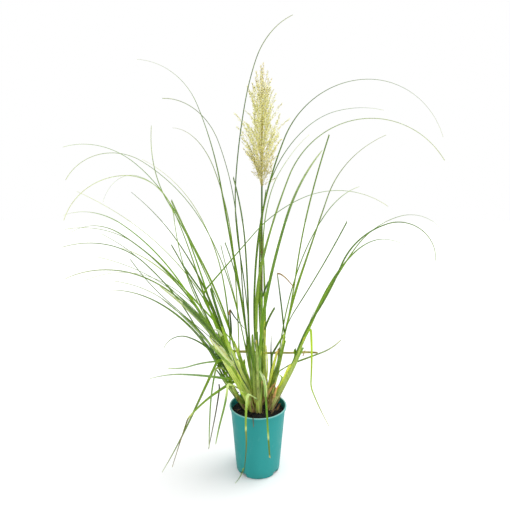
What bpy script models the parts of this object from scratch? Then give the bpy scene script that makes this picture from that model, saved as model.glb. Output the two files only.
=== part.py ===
"""A tall ornamental grass in a tapered nursery pot.

The clump stands in compost: nine leafy tillers, each with its own long narrow
blades, one flower stalk with a feathery plume, and a dry stick caught between
the tillers. The origin is the centre of the underside of the pot and +Z is up.
"""

from collections import namedtuple
from math import cos, pi, radians, sin

import bmesh
import bpy
import numpy as np
from mathutils import Matrix, Vector

# ---------------------------------------------------------------- driving sizes, in metres

GAP = 0.0003                # clearance between pieces that touch

POT_HEIGHT = 0.195
POT_BASE_RADIUS = 0.065
POT_SHOULDER_RADIUS = 0.079     # outside, just under the lip
POT_LIP_RADIUS = 0.085
POT_LIP_HEIGHT = 0.008
POT_WALL = 0.0016
POT_FLOOR = 0.0025
POT_FOOT_BEVEL = 0.003      # where the wall meets the underside
POT_SIDES = 48

NOTCH_COUNT = 4             # drain notches in the bottom edge
NOTCH_FIRST = 45            # degrees round from +X
NOTCH_WIDTH = 0.026
NOTCH_HEIGHT = 0.007
NOTCH_DEPTH = 0.006         # inwards from the edge
HOLE_COUNT = 5              # drain holes in the floor
HOLE_FIRST = 17             # degrees round from +X
HOLE_SIDES = 10
HOLE_RADIUS = 0.005
HOLE_RING = 0.036

SOIL_LEVEL = 0.178
SOIL_RIM_DROP = 0.002       # the compost falls this much towards the wall
SOIL_FLAT = 0.82            # level out to this share of the radius
SOIL_SIDES = 32

TILLER_SIDES = 9
TILLER_RINGS = 6
TILLER_TIP = 0.35           # radius at the very top, as a share of the top radius

BLADE_RINGS = 20
FOLDED_RINGS = 34
BLADE_THICK = 0.0012        # at the midrib, near the foot
TIP_THICK = 0.0006
TIP_WIDTH = 0.0010
ROLLS = (44, -36, 52, -28, 38, -48)     # how far blades turn on their own length, degrees
ROLL_BY = 0.25              # the turn is complete by this share of the length

STALK_FOOT = (0.0115, 0.030)
STALK_TILT = 3.0            # degrees, towards +Y
STALK_LENGTH = 0.668
SHEATH_LENGTH = 0.330       # the lower stalk is still wrapped in its leaf sheaths
SHEATH_RADIUS = 0.0064
STALK_RADIUS = 0.0030
STALK_TOP_RADIUS = 0.0022
STALK_SIDES = 8

PLUME_PROFILE = (           # height above the stalk, reach of the spikelet tips
    (0.000, 0.004), (0.018, 0.015), (0.047, 0.028), (0.077, 0.043), (0.107, 0.053), (0.150, 0.066),
    (0.180, 0.084), (0.218, 0.084), (0.245, 0.060), (0.284, 0.040), (0.328, 0.022), (0.361, 0.006),
)
PLUME_BRANCHES = 6          # drooping sprays round the plume
PLUME_HOLLOW = 0.45         # radius between the sprays, as a share of their reach

STICK_START = (-0.128, 0.054, 0.341)
STICK_END = (0.186, 0.060, 0.332)
STICK_RADIUS = 0.0024
STICK_SAG = 0.003
STICK_TAPER = 0.4           # it loses this share of its radius along its length
STICK_RINGS = 8
STICK_SIDES = 6

# ---------------------------------------------------------------- the plant

# foot on the compost (x, y), lean from upright and direction in degrees, length, radii
Tiller = namedtuple("Tiller", "x y lean azimuth length foot_radius top_radius")

TILLERS = {
    "outer_left": Tiller(-0.036, 0.004, 36, 176, 0.150, 0.0075, 0.0050),
    "upper_left": Tiller(-0.017, -0.009, 20, 205, 0.200, 0.0085, 0.0055),
    "left": Tiller(-0.024, 0.024, 23, 184, 0.250, 0.0095, 0.0060),
    "rear_left": Tiller(-0.010, 0.046, 22, 150, 0.200, 0.0080, 0.0055),
    "centre_left": Tiller(-0.005, 0.012, 7, 190, 0.240, 0.0080, 0.0055),
    "centre": Tiller(0.002, -0.016, 2, 240, 0.250, 0.0085, 0.0055),
    "rear": Tiller(0.014, 0.052, 12, 80, 0.220, 0.0080, 0.0055),
    "inner_right": Tiller(0.030, 0.030, 15, 8, 0.210, 0.0080, 0.0050),
    "right": Tiller(0.037, 0.004, 26, 352, 0.220, 0.0095, 0.0060),
}

# A blade leaves its tiller at a height along it and grows in the direction azimuth.
# leans are its angles from upright at even steps from foot to tip; steps, where it
# folds sharply, gives the shares of the length at which those angles hold.
Blade = namedtuple("Blade", "azimuth height length width leans cut steps", defaults=(False, None))

BLADES = {
    "outer_left": (
        Blade(192, 0.150, 0.640, 0.0075, (5, 34, 47, 101)),
        Blade(208, 0.130, 0.620, 0.0070, (25, 29, 45, 107)),
        Blade(195, 0.100, 0.590, 0.0060, (8, 29, 64, 116)),
        Blade(166, 0.060, 0.555, 0.0070, (31, 41, 66, 96)),
    ),
    "upper_left": (
        Blade(220, 0.200, 0.405, 0.0070, (43, 47, 45, 33), cut=True),
        Blade(205, 0.190, 0.365, 0.0075, (31, 25, 22, 30), cut=True),
        Blade(228, 0.170, 0.525, 0.0065, (29, 41, 54, 73)),
        Blade(240, 0.140, 0.535, 0.0065, (46, 45, 49, 75)),
        Blade(215, 0.110, 0.275, 0.0060, (64, 70, 74, 92)),
        Blade(192, 0.135, 0.420, 0.0075, (58, 30, 154, 154, 148), steps=(0, 0.12, 0.17, 0.6, 1)),
        Blade(200, 0.085, 0.335, 0.0080, (45, 15, 108, 135, 160, 162),
              steps=(0, 0.05, 0.10, 0.55, 0.60, 1)),
        Blade(358, 0.200, 0.820, 0.0070, (-24, -25, 41, 41, 66, 125),
              steps=(0, 0.20, 0.25, 0.5, 0.7, 1)),
    ),
    "left": (
        Blade(165, 0.250, 0.855, 0.0080, (17, 21, 51, 101)),
        Blade(208, 0.240, 0.755, 0.0075, (32, 20, 5, 96, 162)),
        Blade(150, 0.220, 0.840, 0.0070, (27, 21, 28, 77, 154)),
        Blade(185, 0.120, 0.545, 0.0090, (5, 19, 27, 23), cut=True),
        Blade(210, 0.200, 0.610, 0.0065, (17, 33, 48, 65)),
        Blade(158, 0.190, 0.800, 0.0080, (34, 41, 62, 105)),
        Blade(196, 0.180, 0.550, 0.0080, (16, 22, 33, 50), cut=True),
    ),
    "rear_left": (
        Blade(160, 0.200, 0.805, 0.0075, (47, 48, 63, 126)),
        Blade(135, 0.170, 0.880, 0.0070, (2, 7, 30, 80)),
        Blade(145, 0.150, 0.870, 0.0065, (25, 32, 40, -9)),
        Blade(158, 0.130, 0.820, 0.0070, (43, 55, 87, 113)),
    ),
    "centre_left": (
        Blade(180, 0.190, 0.315, 0.0070, (14, 11, 16, 12), cut=True),
        Blade(350, 0.230, 0.945, 0.0080, (-3, -10, 4, 8, 68)),
        Blade(170, 0.210, 0.940, 0.0080, (8, 10, 10, 23, 83)),
        Blade(225, 0.200, 0.780, 0.0080, (10, 4, 9, 27, 104)),
        Blade(235, 0.170, 0.360, 0.0070, (10, 15, 19, 31), cut=True),
        Blade(192, 0.140, 0.895, 0.0085, (9, 15, 30, 58, 152)),
    ),
    "centre": (
        Blade(322, 0.240, 0.915, 0.0085, (-4, 17, 25, 89, 150)),
        Blade(5, 0.210, 1.185, 0.0085, (-4, 7, 22, 87, 160)),
        Blade(296, 0.180, 0.625, 0.0090, (5, 22, 30, 60)),
        Blade(250, 0.120, 0.585, 0.0085, (39, 2, 10, 38), cut=True),
        Blade(250, 0.050, 0.305, 0.0080, (50, 60, 164, 188, 150), steps=(0, 0.28, 0.34, 0.66, 1)),
        Blade(285, 0.135, 0.255, 0.0080, (84, 112, 161, 168, 164), cut=True,
              steps=(0, 0.20, 0.28, 0.62, 1)),
    ),
    "rear": (
        Blade(40, 0.200, 1.220, 0.0065, (-7, 1, 41, 72, 88)),
        Blade(60, 0.160, 0.890, 0.0060, (4, -6, 50, 64)),
    ),
    "inner_right": (
        Blade(35, 0.205, 0.660, 0.0085, (15, 10, 18, 23), cut=True),
        Blade(350, 0.190, 0.700, 0.0085, (10, 18, 18, 68)),
        Blade(318, 0.170, 0.455, 0.0080, (8, 34, 32, 29), cut=True),
        Blade(42, 0.160, 0.710, 0.0065, (9, 25, 46, 78)),
        Blade(350, 0.110, 0.215, 0.0055, (49, 66, 65, 40)),
    ),
    "right": (
        Blade(8, 0.200, 0.680, 0.0090, (21, 30, 35, 74, 145)),
        Blade(325, 0.170, 0.655, 0.0080, (17, 32, 22, 71, 182)),
        Blade(38, 0.150, 0.835, 0.0080, (33, 35, 59, 97, 115)),
        Blade(348, 0.205, 0.375, 0.0080, (22, 26, 176, 189, 142), steps=(0, 0.18, 0.23, 0.62, 1)),
    ),
}

# finish: base colour, roughness
FINISHES = {
    "teal_plastic": ((0.030, 0.330, 0.320), 0.42),
    "compost": ((0.020, 0.013, 0.008), 0.95),
    "sheath": ((0.400, 0.480, 0.110), 0.55),
    "leaf": ((0.085, 0.200, 0.035), 0.50),
    "stalk": ((0.190, 0.290, 0.060), 0.50),
    "plume": ((0.760, 0.680, 0.360), 0.85),
    "dry_stem": ((0.220, 0.120, 0.040), 0.80),
}

UP = Vector((0, 0, 1))


# ---------------------------------------------------------------- shared helpers


def clear_scene():
    """Remove whatever the file opened with."""
    for obj in list(bpy.data.objects):
        bpy.data.objects.remove(obj, do_unlink=True)


def material(name):
    """The finish of that name, made once."""
    found = bpy.data.materials.get(name)
    if found:
        return found
    colour, roughness = FINISHES[name]
    made = bpy.data.materials.new(name)
    made.use_nodes = True
    shader = made.node_tree.nodes["Principled BSDF"]
    shader.inputs["Base Color"].default_value = (*colour, 1)
    shader.inputs["Roughness"].default_value = roughness
    shader.inputs["Metallic"].default_value = 0
    made.diffuse_color = (*colour, 1)
    return made


def place(name, mesh_bm, finish, smooth=40):
    """Turn a bmesh into a named object with its finish."""
    bmesh.ops.recalc_face_normals(mesh_bm, faces=mesh_bm.faces)
    mesh = bpy.data.meshes.new(name)
    mesh_bm.to_mesh(mesh)
    mesh_bm.free()
    mesh.shade_smooth()
    mesh.set_sharp_from_angle(angle=radians(smooth))
    obj = bpy.data.objects.new(name, mesh)
    obj.data.materials.append(material(finish))
    bpy.context.scene.collection.objects.link(obj)
    return obj


def heading(lean, azimuth):
    """Unit vector leaning lean degrees from upright towards azimuth."""
    lean, azimuth = radians(lean), radians(azimuth)
    return Vector((sin(lean) * cos(azimuth), sin(lean) * sin(azimuth), cos(lean)))


def loft(rings):
    """A closed skin over rings of points, capped at both ends."""
    bm = bmesh.new()
    rows = [[bm.verts.new(point) for point in ring] for ring in rings]
    count = len(rows[0])
    for lower, upper in zip(rows, rows[1:]):
        for i in range(count):
            j = (i + 1) % count
            bm.faces.new((lower[i], lower[j], upper[j], upper[i]))
    bm.faces.new(rows[0][::-1])
    bm.faces.new(rows[-1])
    return bm


def turned(profile, sides):
    """A solid turned about Z from (radius, height) points that start and end on the axis."""
    bm = bmesh.new()
    points = [bm.verts.new((radius, 0, height)) for radius, height in profile]
    edges = [bm.edges.new(pair) for pair in zip(points, points[1:])]
    bmesh.ops.spin(bm, geom=points + edges, cent=(0, 0, 0), axis=(0, 0, 1), angle=2 * pi, steps=sides)
    bmesh.ops.remove_doubles(bm, verts=bm.verts, dist=0.00001)
    return bm


def arc(centre_r, centre_z, radius, start, end, steps):
    """(radius, height) points round an arc, angles in degrees from +R towards +Z."""
    angles = [radians(start + (end - start) * k / steps) for k in range(steps + 1)]
    return [(centre_r + radius * cos(a), centre_z + radius * sin(a)) for a in angles]


def cutter(name, bm):
    """A hidden shape that only cuts."""
    obj = place(name, bm, "teal_plastic")
    obj.hide_render = True
    obj.display_type = "WIRE"
    return obj


def cut_away(obj, tool):
    """Subtract tool from obj."""
    cut = obj.modifiers.new(tool.name, "BOOLEAN")
    cut.operation = "DIFFERENCE"
    cut.solver = "EXACT"
    cut.object = tool


# ---------------------------------------------------------------- pot and compost


def inner_radius(height):
    """Inside radius of the pot wall at a height."""
    rise = height / (POT_HEIGHT - POT_LIP_HEIGHT)
    return POT_BASE_RADIUS + (POT_SHOULDER_RADIUS - POT_BASE_RADIUS) * rise - POT_WALL


def build_pot():
    """Tapered pot with a rolled lip, a flat floor, drain holes and notches in its edge."""
    shoulder = POT_HEIGHT - POT_LIP_HEIGHT
    roll = POT_WALL
    outside = [
        (0, 0),
        (POT_BASE_RADIUS - POT_FOOT_BEVEL, 0),
        (POT_BASE_RADIUS, POT_FOOT_BEVEL),
        (POT_SHOULDER_RADIUS, shoulder),
    ]
    lip = [(POT_LIP_RADIUS - roll / 2, shoulder)]
    lip += arc(POT_LIP_RADIUS - roll, POT_HEIGHT - roll, roll, 0, 90, 2)
    inside = [
        (inner_radius(POT_HEIGHT) + roll, POT_HEIGHT),
        (inner_radius(POT_HEIGHT), POT_HEIGHT - roll),
        (inner_radius(shoulder), shoulder - roll / 2),
        (inner_radius(POT_FLOOR), POT_FLOOR),
        (0, POT_FLOOR),
    ]
    pot = place("pot", turned(outside + lip + inside, POT_SIDES), "teal_plastic", smooth=35)

    notches = bmesh.new()
    for k in range(NOTCH_COUNT):
        turn = Matrix.Rotation(radians(NOTCH_FIRST + 360 * k / NOTCH_COUNT), 4, "Z")
        spot = Matrix.Translation((POT_BASE_RADIUS, 0, 0))
        size = Matrix.Diagonal((2 * NOTCH_DEPTH, NOTCH_WIDTH, 2 * NOTCH_HEIGHT, 1))
        bmesh.ops.create_cube(notches, size=1, matrix=turn @ spot @ size)
    cut_away(pot, cutter("notch_cutter", notches))

    holes = bmesh.new()
    for k in range(HOLE_COUNT):
        angle = radians(HOLE_FIRST + 360 * k / HOLE_COUNT)
        spot = Matrix.Translation((HOLE_RING * cos(angle), HOLE_RING * sin(angle), POT_FLOOR / 2))
        bmesh.ops.create_cone(
            holes, cap_ends=True, segments=HOLE_SIDES, radius1=HOLE_RADIUS, radius2=HOLE_RADIUS,
            depth=4 * POT_FLOOR, matrix=spot,
        )
    cut_away(pot, cutter("hole_cutter", holes))
    return pot


def build_soil():
    """Compost that fills the pot to below the lip."""
    low = POT_FLOOR + GAP
    edge = SOIL_LEVEL - SOIL_RIM_DROP
    profile = [
        (0, low),
        (inner_radius(low) - GAP, low),
        (inner_radius(edge) - GAP, edge),
        (SOIL_FLAT * inner_radius(edge), SOIL_LEVEL),
        (0, SOIL_LEVEL),
    ]
    return place("potting_soil", turned(profile, SOIL_SIDES), "compost")


# ---------------------------------------------------------------- tillers, stalk, plume, stick


def tiller_frame(tiller):
    """Foot point and direction of a tiller."""
    return Vector((tiller.x, tiller.y, SOIL_LEVEL)), heading(tiller.lean, tiller.azimuth)


def tiller_radius(tiller, along):
    """Radius of a tiller a distance along it."""
    share = along / tiller.length
    return tiller.foot_radius + (tiller.top_radius - tiller.foot_radius) * share


def round_ring(centre, direction, radius, sides, level=None):
    """A ring of points round a direction; level slides them along it to one height."""
    across = direction.cross(UP)
    across = across.normalized() if across.length > 1e-4 else Vector((1, 0, 0))
    other = direction.cross(across)
    points = []
    for k in range(sides):
        angle = 2 * pi * k / sides
        point = centre + radius * (cos(angle) * across + sin(angle) * other)
        if level is not None:
            point += direction * ((level - point.z) / direction.z)
        points.append(point)
    return points


def build_tiller(name, tiller):
    """One bundle of leaf sheaths, cut level where it meets the compost and closed at the top."""
    foot, direction = tiller_frame(tiller)
    rings = [round_ring(foot, direction, tiller.foot_radius, TILLER_SIDES, level=SOIL_LEVEL + GAP)]
    for k in range(1, TILLER_RINGS + 1):
        along = tiller.foot_radius + (tiller.length - tiller.foot_radius) * k / TILLER_RINGS
        centre = foot + direction * along
        rings.append(round_ring(centre, direction, tiller_radius(tiller, along), TILLER_SIDES))
    tip = foot + direction * (tiller.length + tiller.top_radius)
    rings.append(round_ring(tip, direction, tiller.top_radius * TILLER_TIP, TILLER_SIDES))
    return place(f"{name}_tiller", loft(rings), "sheath")


def stalk_point(along):
    """A point a distance up the flower stalk."""
    return Vector((*STALK_FOOT, SOIL_LEVEL)) + heading(STALK_TILT, 90) * along


def build_stalk():
    """Flower stalk: wrapped in sheaths below, bare and slender above."""
    direction = heading(STALK_TILT, 90)
    sections = (
        (0.010, SHEATH_RADIUS), (0.150, SHEATH_RADIUS), (0.250, 0.9 * SHEATH_RADIUS),
        (SHEATH_LENGTH, 0.7 * SHEATH_RADIUS), (SHEATH_LENGTH + 0.012, STALK_RADIUS),
        (0.500, STALK_RADIUS), (STALK_LENGTH, STALK_TOP_RADIUS),
    )
    rings = [round_ring(stalk_point(0), direction, SHEATH_RADIUS, STALK_SIDES, level=SOIL_LEVEL + GAP)]
    rings += [round_ring(stalk_point(along), direction, radius, STALK_SIDES) for along, radius in sections]
    return place("flower_stalk", loft(rings), "stalk")


def plume_ring(centre, direction, reach):
    """A ring that reaches the spikelet tips along each spray and falls in between them."""
    ring = round_ring(centre, direction, reach, 2 * PLUME_BRANCHES)
    return [point if k % 2 == 0 else centre.lerp(point, PLUME_HOLLOW) for k, point in enumerate(ring)]


def build_plume():
    """Outer shape of the plume, out to its spikelet tips."""
    direction = heading(STALK_TILT, 90)
    start = STALK_LENGTH + GAP
    rings = [
        plume_ring(stalk_point(start + height), direction, reach)
        for height, reach in PLUME_PROFILE
    ]
    return place("plume", loft(rings), "plume", smooth=60)


def build_stick():
    """A thin dry stick that lies across the clump between the tillers."""
    start, end = Vector(STICK_START), Vector(STICK_END)
    direction = (end - start).normalized()
    rings = []
    for k in range(STICK_RINGS):
        share = k / (STICK_RINGS - 1)
        centre = start.lerp(end, share) - UP * STICK_SAG * sin(pi * share)
        radius = STICK_RADIUS * (1 - STICK_TAPER * share)
        rings.append(round_ring(centre, direction, radius, STICK_SIDES))
    return place("dry_stick", loft(rings), "dry_stem")


# ---------------------------------------------------------------- blades


def blade_start(tiller, blade, half_width):
    """Where a blade's foot sits on its tiller, clear of its skin."""
    foot, axis = tiller_frame(tiller)
    out = heading(blade.leans[0], blade.azimuth)
    away = (out - out.dot(axis) * axis).normalized()
    across = UP.cross(heading(90, blade.azimuth))
    reach = abs(across.dot(away)) * half_width + BLADE_THICK
    return foot + axis * blade.height + away * (tiller_radius(tiller, blade.height) + GAP + reach)


def blade_width(blade, share):
    """Width at a share of the length: narrow foot, full by a tenth, then tapering."""
    foot = 0.45 + 0.55 * min(share / 0.10, 1)
    if blade.cut:
        return blade.width * foot * (1 - 0.35 * share)
    return blade.width * foot * (1 - share) ** 0.8 + TIP_WIDTH


def build_blade(name, tiller, blade, roll):
    """One blade: a shallow three-sided section swept along its leaning path."""
    count = FOLDED_RINGS if blade.steps else BLADE_RINGS
    shares = np.linspace(0, 1, count + 1)
    steps = blade.steps or np.linspace(0, 1, len(blade.leans))
    middles = (shares[1:] + shares[:-1]) / 2
    runs = [heading(lean, blade.azimuth) for lean in np.interp(middles, steps, blade.leans)]
    across = UP.cross(heading(90, blade.azimuth))

    point = blade_start(tiller, blade, blade_width(blade, 0) / 2)
    rings = []
    for k, share in enumerate(shares):
        before, after = runs[max(k - 1, 0)], runs[min(k, count - 1)]
        tangent = (before + after).normalized()
        turn = Matrix.Rotation(radians(roll) * min(share / ROLL_BY, 1), 3, tangent)
        side = turn @ across * blade_width(blade, share) / 2
        keel = turn @ tangent.cross(across) * (BLADE_THICK + (TIP_THICK - BLADE_THICK) * share)
        rings.append([point + side, point - side, point + keel])
        if k < count:
            point = point + after * (blade.length / count)
    return place(name, loft(rings), "leaf")


def build_plant():
    """Tillers with their blades, then the stalk, plume and stick."""
    turn = 0
    for name, tiller in TILLERS.items():
        build_tiller(name, tiller)
        for number, blade in enumerate(BLADES[name], start=1):
            build_blade(f"{name}_blade_{number}", tiller, blade, ROLLS[turn % len(ROLLS)])
            turn += 1
    build_stalk()
    build_plume()
    build_stick()


def main():
    """Build the whole object."""
    clear_scene()
    build_pot()
    build_soil()
    build_plant()


main()
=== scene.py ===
"""A tall ornamental grass in a tapered nursery pot, every piece finely made and finished.

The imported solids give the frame: the pot, the compost, nine tillers with their blades, the
flower stalk, the plume and a dry stick. Each one is stood for here by a finely made piece,
and the things too small for a solid of their own, such as hair-thin leaves, dry shreds of
sheath and crumbs of compost, are added among them.
"""

import logging
from collections.abc import Callable, Iterable, Sequence
from dataclasses import dataclass, field
from enum import Enum
from math import cos, pi, radians, sin, sqrt

import bmesh
import bpy
import numpy as np
from mathutils import Matrix, Vector


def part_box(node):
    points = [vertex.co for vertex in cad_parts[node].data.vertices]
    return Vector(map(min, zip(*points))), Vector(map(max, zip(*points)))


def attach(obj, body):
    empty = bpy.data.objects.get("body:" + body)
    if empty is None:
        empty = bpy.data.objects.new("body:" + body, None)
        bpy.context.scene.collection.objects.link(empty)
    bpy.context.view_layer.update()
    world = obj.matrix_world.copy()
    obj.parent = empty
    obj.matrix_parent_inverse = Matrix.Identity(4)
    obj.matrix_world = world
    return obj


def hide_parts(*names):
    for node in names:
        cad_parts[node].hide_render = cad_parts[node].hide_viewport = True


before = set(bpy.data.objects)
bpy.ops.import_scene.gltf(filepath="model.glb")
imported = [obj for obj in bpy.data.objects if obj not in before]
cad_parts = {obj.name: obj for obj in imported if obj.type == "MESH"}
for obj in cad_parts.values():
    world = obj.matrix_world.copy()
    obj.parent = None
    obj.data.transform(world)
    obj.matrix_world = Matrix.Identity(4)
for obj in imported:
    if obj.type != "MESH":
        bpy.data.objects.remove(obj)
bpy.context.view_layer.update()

LOG = logging.getLogger("potted_grass")

BODY = "root"
UP = np.array((0.0, 0.0, 1.0))
GAP = 0.0003                # clearance between neighbours
SUNK = 0.003                # leaves and stems start this far below the top of the compost
GOLDEN_TURN = 137.5         # degrees from one branch round to the next

Colour = tuple[float, float, float]
Piece = bpy.types.Object
Socket = bpy.types.NodeSocket


# ================ small tools


def linear(colour: Colour) -> Colour:
    """Turn a colour as it is seen on a chart into the values a shader works with."""
    return tuple(c / 12.92 if c <= 0.04045 else ((c + 0.055) / 1.055) ** 2.4 for c in colour)


def smooth(value: np.ndarray | float) -> np.ndarray | float:
    """Ease a value from 0 to 1, flat at both ends."""
    held = np.clip(value, 0, 1)
    return held * held * (3 - 2 * held)


def heading(lean: np.ndarray | float, azimuth: np.ndarray | float) -> np.ndarray:
    """Direction that leans from upright towards an azimuth.

    Args:
        lean: angle from upright, in degrees.
        azimuth: compass angle round from +X, in degrees.

    Returns:
        Unit vectors, one a row where an angle is an array.
    """
    lean, azimuth = np.radians(lean), np.radians(azimuth)
    flat = np.sin(lean)
    return np.stack((flat * np.cos(azimuth), flat * np.sin(azimuth), np.cos(lean) + 0 * azimuth), axis=-1)


def unit(vectors: np.ndarray) -> np.ndarray:
    """Scale vectors to length one."""
    return vectors / np.maximum(np.linalg.norm(vectors, axis=-1, keepdims=True), 1e-9)


def shade(colour: Colour) -> np.ndarray:
    """A chart colour as an array of the values a shader works with."""
    return np.array(linear(colour))


def between(places: np.ndarray, knots: Sequence[float], rows: np.ndarray) -> np.ndarray:
    """Read places off a table of three columns that is known at knots.

    Args:
        places: where it is read.
        knots: where it is known, rising.
        rows: its three values at each knot.

    Returns:
        Three values for each place.
    """
    return np.stack([np.interp(places, knots, rows[:, k]) for k in range(3)], axis=-1)


def onto_blade(along: np.ndarray) -> np.ndarray:
    """How far a leaf has turned from its sheath's way to its blade's, from 0 to 1."""
    return smooth((along + 0.012) / 0.03)


# ================ working by hand


def take(obj: Piece) -> Piece:
    """Make one object the only one selected, and the active one.

    Args:
        obj: the object.

    Returns:
        The same object.
    """
    bpy.ops.object.select_all(action="DESELECT")
    obj.select_set(True)
    bpy.context.view_layer.objects.active = obj
    return obj


class Bench:
    """Edit mode on one object, with its parts picked by their place."""

    def __init__(self, obj: Piece) -> None:
        """Remember the object that goes on the bench."""
        self.obj = obj

    def __enter__(self) -> "Bench":
        """Open the object with nothing selected."""
        take(self.obj)
        bpy.ops.object.mode_set(mode="EDIT")
        bpy.ops.mesh.select_all(action="DESELECT")
        return self

    def __exit__(self, *_: object) -> None:
        """Put the object away."""
        bpy.ops.object.mode_set(mode="OBJECT")

    def everything(self, mode: str = "VERT") -> None:
        """Select the whole mesh in a selection mode."""
        bpy.ops.mesh.select_mode(type=mode)
        bpy.ops.mesh.select_all(action="SELECT")

    def points(self, test: Callable[[Vector], bool]) -> int:
        """Select the vertices whose place passes a test, and say how many there are."""
        return self._pick("VERT", lambda mesh: mesh.verts, lambda v: test(v.co))

    def faces(self, test: Callable[[Vector, Vector], bool]) -> int:
        """Select the faces whose middle and normal pass a test, and say how many there are."""
        return self._pick("FACE", lambda mesh: mesh.faces, lambda f: test(f.calc_center_median(), f.normal))

    def _pick(self, mode: str, parts: Callable, test: Callable) -> int:
        """Select what passes, in a selection mode.

        Args:
            mode: VERT, EDGE or FACE.
            parts: gives the parts of a mesh that are looked at.
            test: says whether a part is picked.

        Returns:
            How many were picked.
        """
        bpy.ops.mesh.select_mode(type=mode)
        bpy.ops.mesh.select_all(action="DESELECT")
        mesh = bmesh.from_edit_mesh(self.obj.data)
        found = [part for part in parts(mesh) if test(part)]
        for part in found:
            part.select_set(True)
        mesh.select_flush_mode()
        bmesh.update_edit_mesh(self.obj.data)
        return len(found)

    def close(self) -> None:
        """Fill the open ends and turn every face outwards."""
        self.everything()
        bpy.ops.mesh.fill_holes(sides=0)
        self.everything()
        bpy.ops.mesh.normals_make_consistent(inside=False)


def modify(obj: Piece, kind: str, **settings: object) -> None:
    """Add a modifier with its settings and apply it.

    Args:
        obj: the object that is changed.
        kind: the modifier's type, such as SOLIDIFY.
        settings: its values, by name.
    """
    take(obj)
    made = obj.modifiers.new(kind.title(), kind)
    for name, value in settings.items():
        setattr(made, name, value)
    bpy.ops.object.modifier_apply(modifier=made.name)


def settle(obj: Piece, name: str, angle: float | None = 35) -> Piece:
    """Name a finished shape, put its place into its mesh and shade it.

    Args:
        obj: the shape.
        name: what the piece is called.
        angle: edges sharper than this many degrees stay crisp; None keeps flat faces.

    Returns:
        The same object.
    """
    take(obj)
    bpy.ops.object.transform_apply(location=True, rotation=True, scale=True)
    if angle is not None:
        bpy.ops.object.shade_smooth_by_angle(angle=radians(angle))
    obj.name = name
    obj.data.name = name
    return obj


def raise_rings(profile: Sequence[tuple[float, float]], sides: int) -> Piece:
    """Draw up a round shape ring by ring from a circle, as on a wheel, and close both ends.

    Args:
        profile: (radius, height) of each ring, in the order they are drawn.
        sides: how many points a ring has.

    Returns:
        The closed shape, on the Z axis.
    """
    radius, height = profile[0]
    bpy.ops.mesh.primitive_circle_add(vertices=sides, radius=radius, location=(0, 0, height))
    obj = bpy.context.active_object
    bpy.ops.object.transform_apply(location=True)
    with Bench(obj) as bench:
        bench.everything("EDGE")
        for (before, low), (after, high) in zip(profile, profile[1:]):
            bpy.ops.mesh.extrude_region_move(TRANSFORM_OT_translate={"value": (0, 0, high - low)})
            ratio = after / before
            bpy.ops.transform.resize(value=(ratio, ratio, 1), center_override=(0, 0, high))
        bench.close()
    return obj


def grow_rod(points: Sequence[Sequence[float]], radii: Sequence[float], sides: int) -> Piece:
    """Grow a round rod from a circle, one joint after another.

    Args:
        points: the middles of its rings.
        radii: the radius of each ring.
        sides: how many points a ring has.

    Returns:
        The closed rod.
    """
    line = [Vector(point) for point in points]
    along = (line[-1] - line[0]).normalized()
    bpy.ops.mesh.primitive_circle_add(
        vertices=sides, radius=radii[0], location=line[0], rotation=along.to_track_quat("Z", "Y").to_euler()
    )
    obj = bpy.context.active_object
    bpy.ops.object.transform_apply(location=True, rotation=True)
    with Bench(obj) as bench:
        bench.everything("EDGE")
        for k in range(1, len(line)):
            step = line[k] - line[k - 1]
            bpy.ops.mesh.extrude_region_move(TRANSFORM_OT_translate={"value": step})
            ratio = radii[k] / radii[k - 1]
            bpy.ops.transform.resize(value=(ratio, ratio, ratio), center_override=line[k])
        bench.close()
    return obj


def paint(obj: Piece, colours: np.ndarray) -> None:
    """Store a colour for each vertex, for the finishes that read it as their tint.

    Args:
        obj: the piece.
        colours: one for each vertex, or one for all.
    """
    mesh = obj.data
    layer = mesh.attributes.get("tint") or mesh.attributes.new("tint", "FLOAT_COLOR", "POINT")
    filled = np.ones((len(mesh.vertices), 4), np.float32)
    filled[:, :3] = colours
    layer.data.foreach_set("color", filled.ravel())


def places_of(obj: Piece) -> np.ndarray:
    """The places of a mesh's vertices, one a row.

    Args:
        obj: the piece.

    Returns:
        An array of three columns.
    """
    places = np.empty(len(obj.data.vertices) * 3, np.float32)
    obj.data.vertices.foreach_get("co", places)
    return places.reshape(-1, 3).astype(float)


def map_by_cube(obj: Piece) -> None:
    """Give a round rod a UV map, from the six sides of a small cube."""
    with Bench(obj) as bench:
        bench.everything("FACE")
        bpy.ops.uv.cube_project(cube_size=0.02)


def hand_in(obj: Piece, finish: bpy.types.Material, nodes: Iterable[str] = ()) -> None:
    """Give a piece its finish, its place in the frame and the solids that it stands for.

    Args:
        obj: the finished piece.
        finish: its material.
        nodes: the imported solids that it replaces.
    """
    obj.data.materials.clear()
    obj.data.materials.append(finish)
    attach(obj, BODY)
    nodes = tuple(nodes)
    if nodes:
        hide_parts(*nodes)
    LOG.info("%s: %d faces, stands for %s", obj.name, len(obj.data.polygons), ", ".join(nodes) or "itself")


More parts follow.
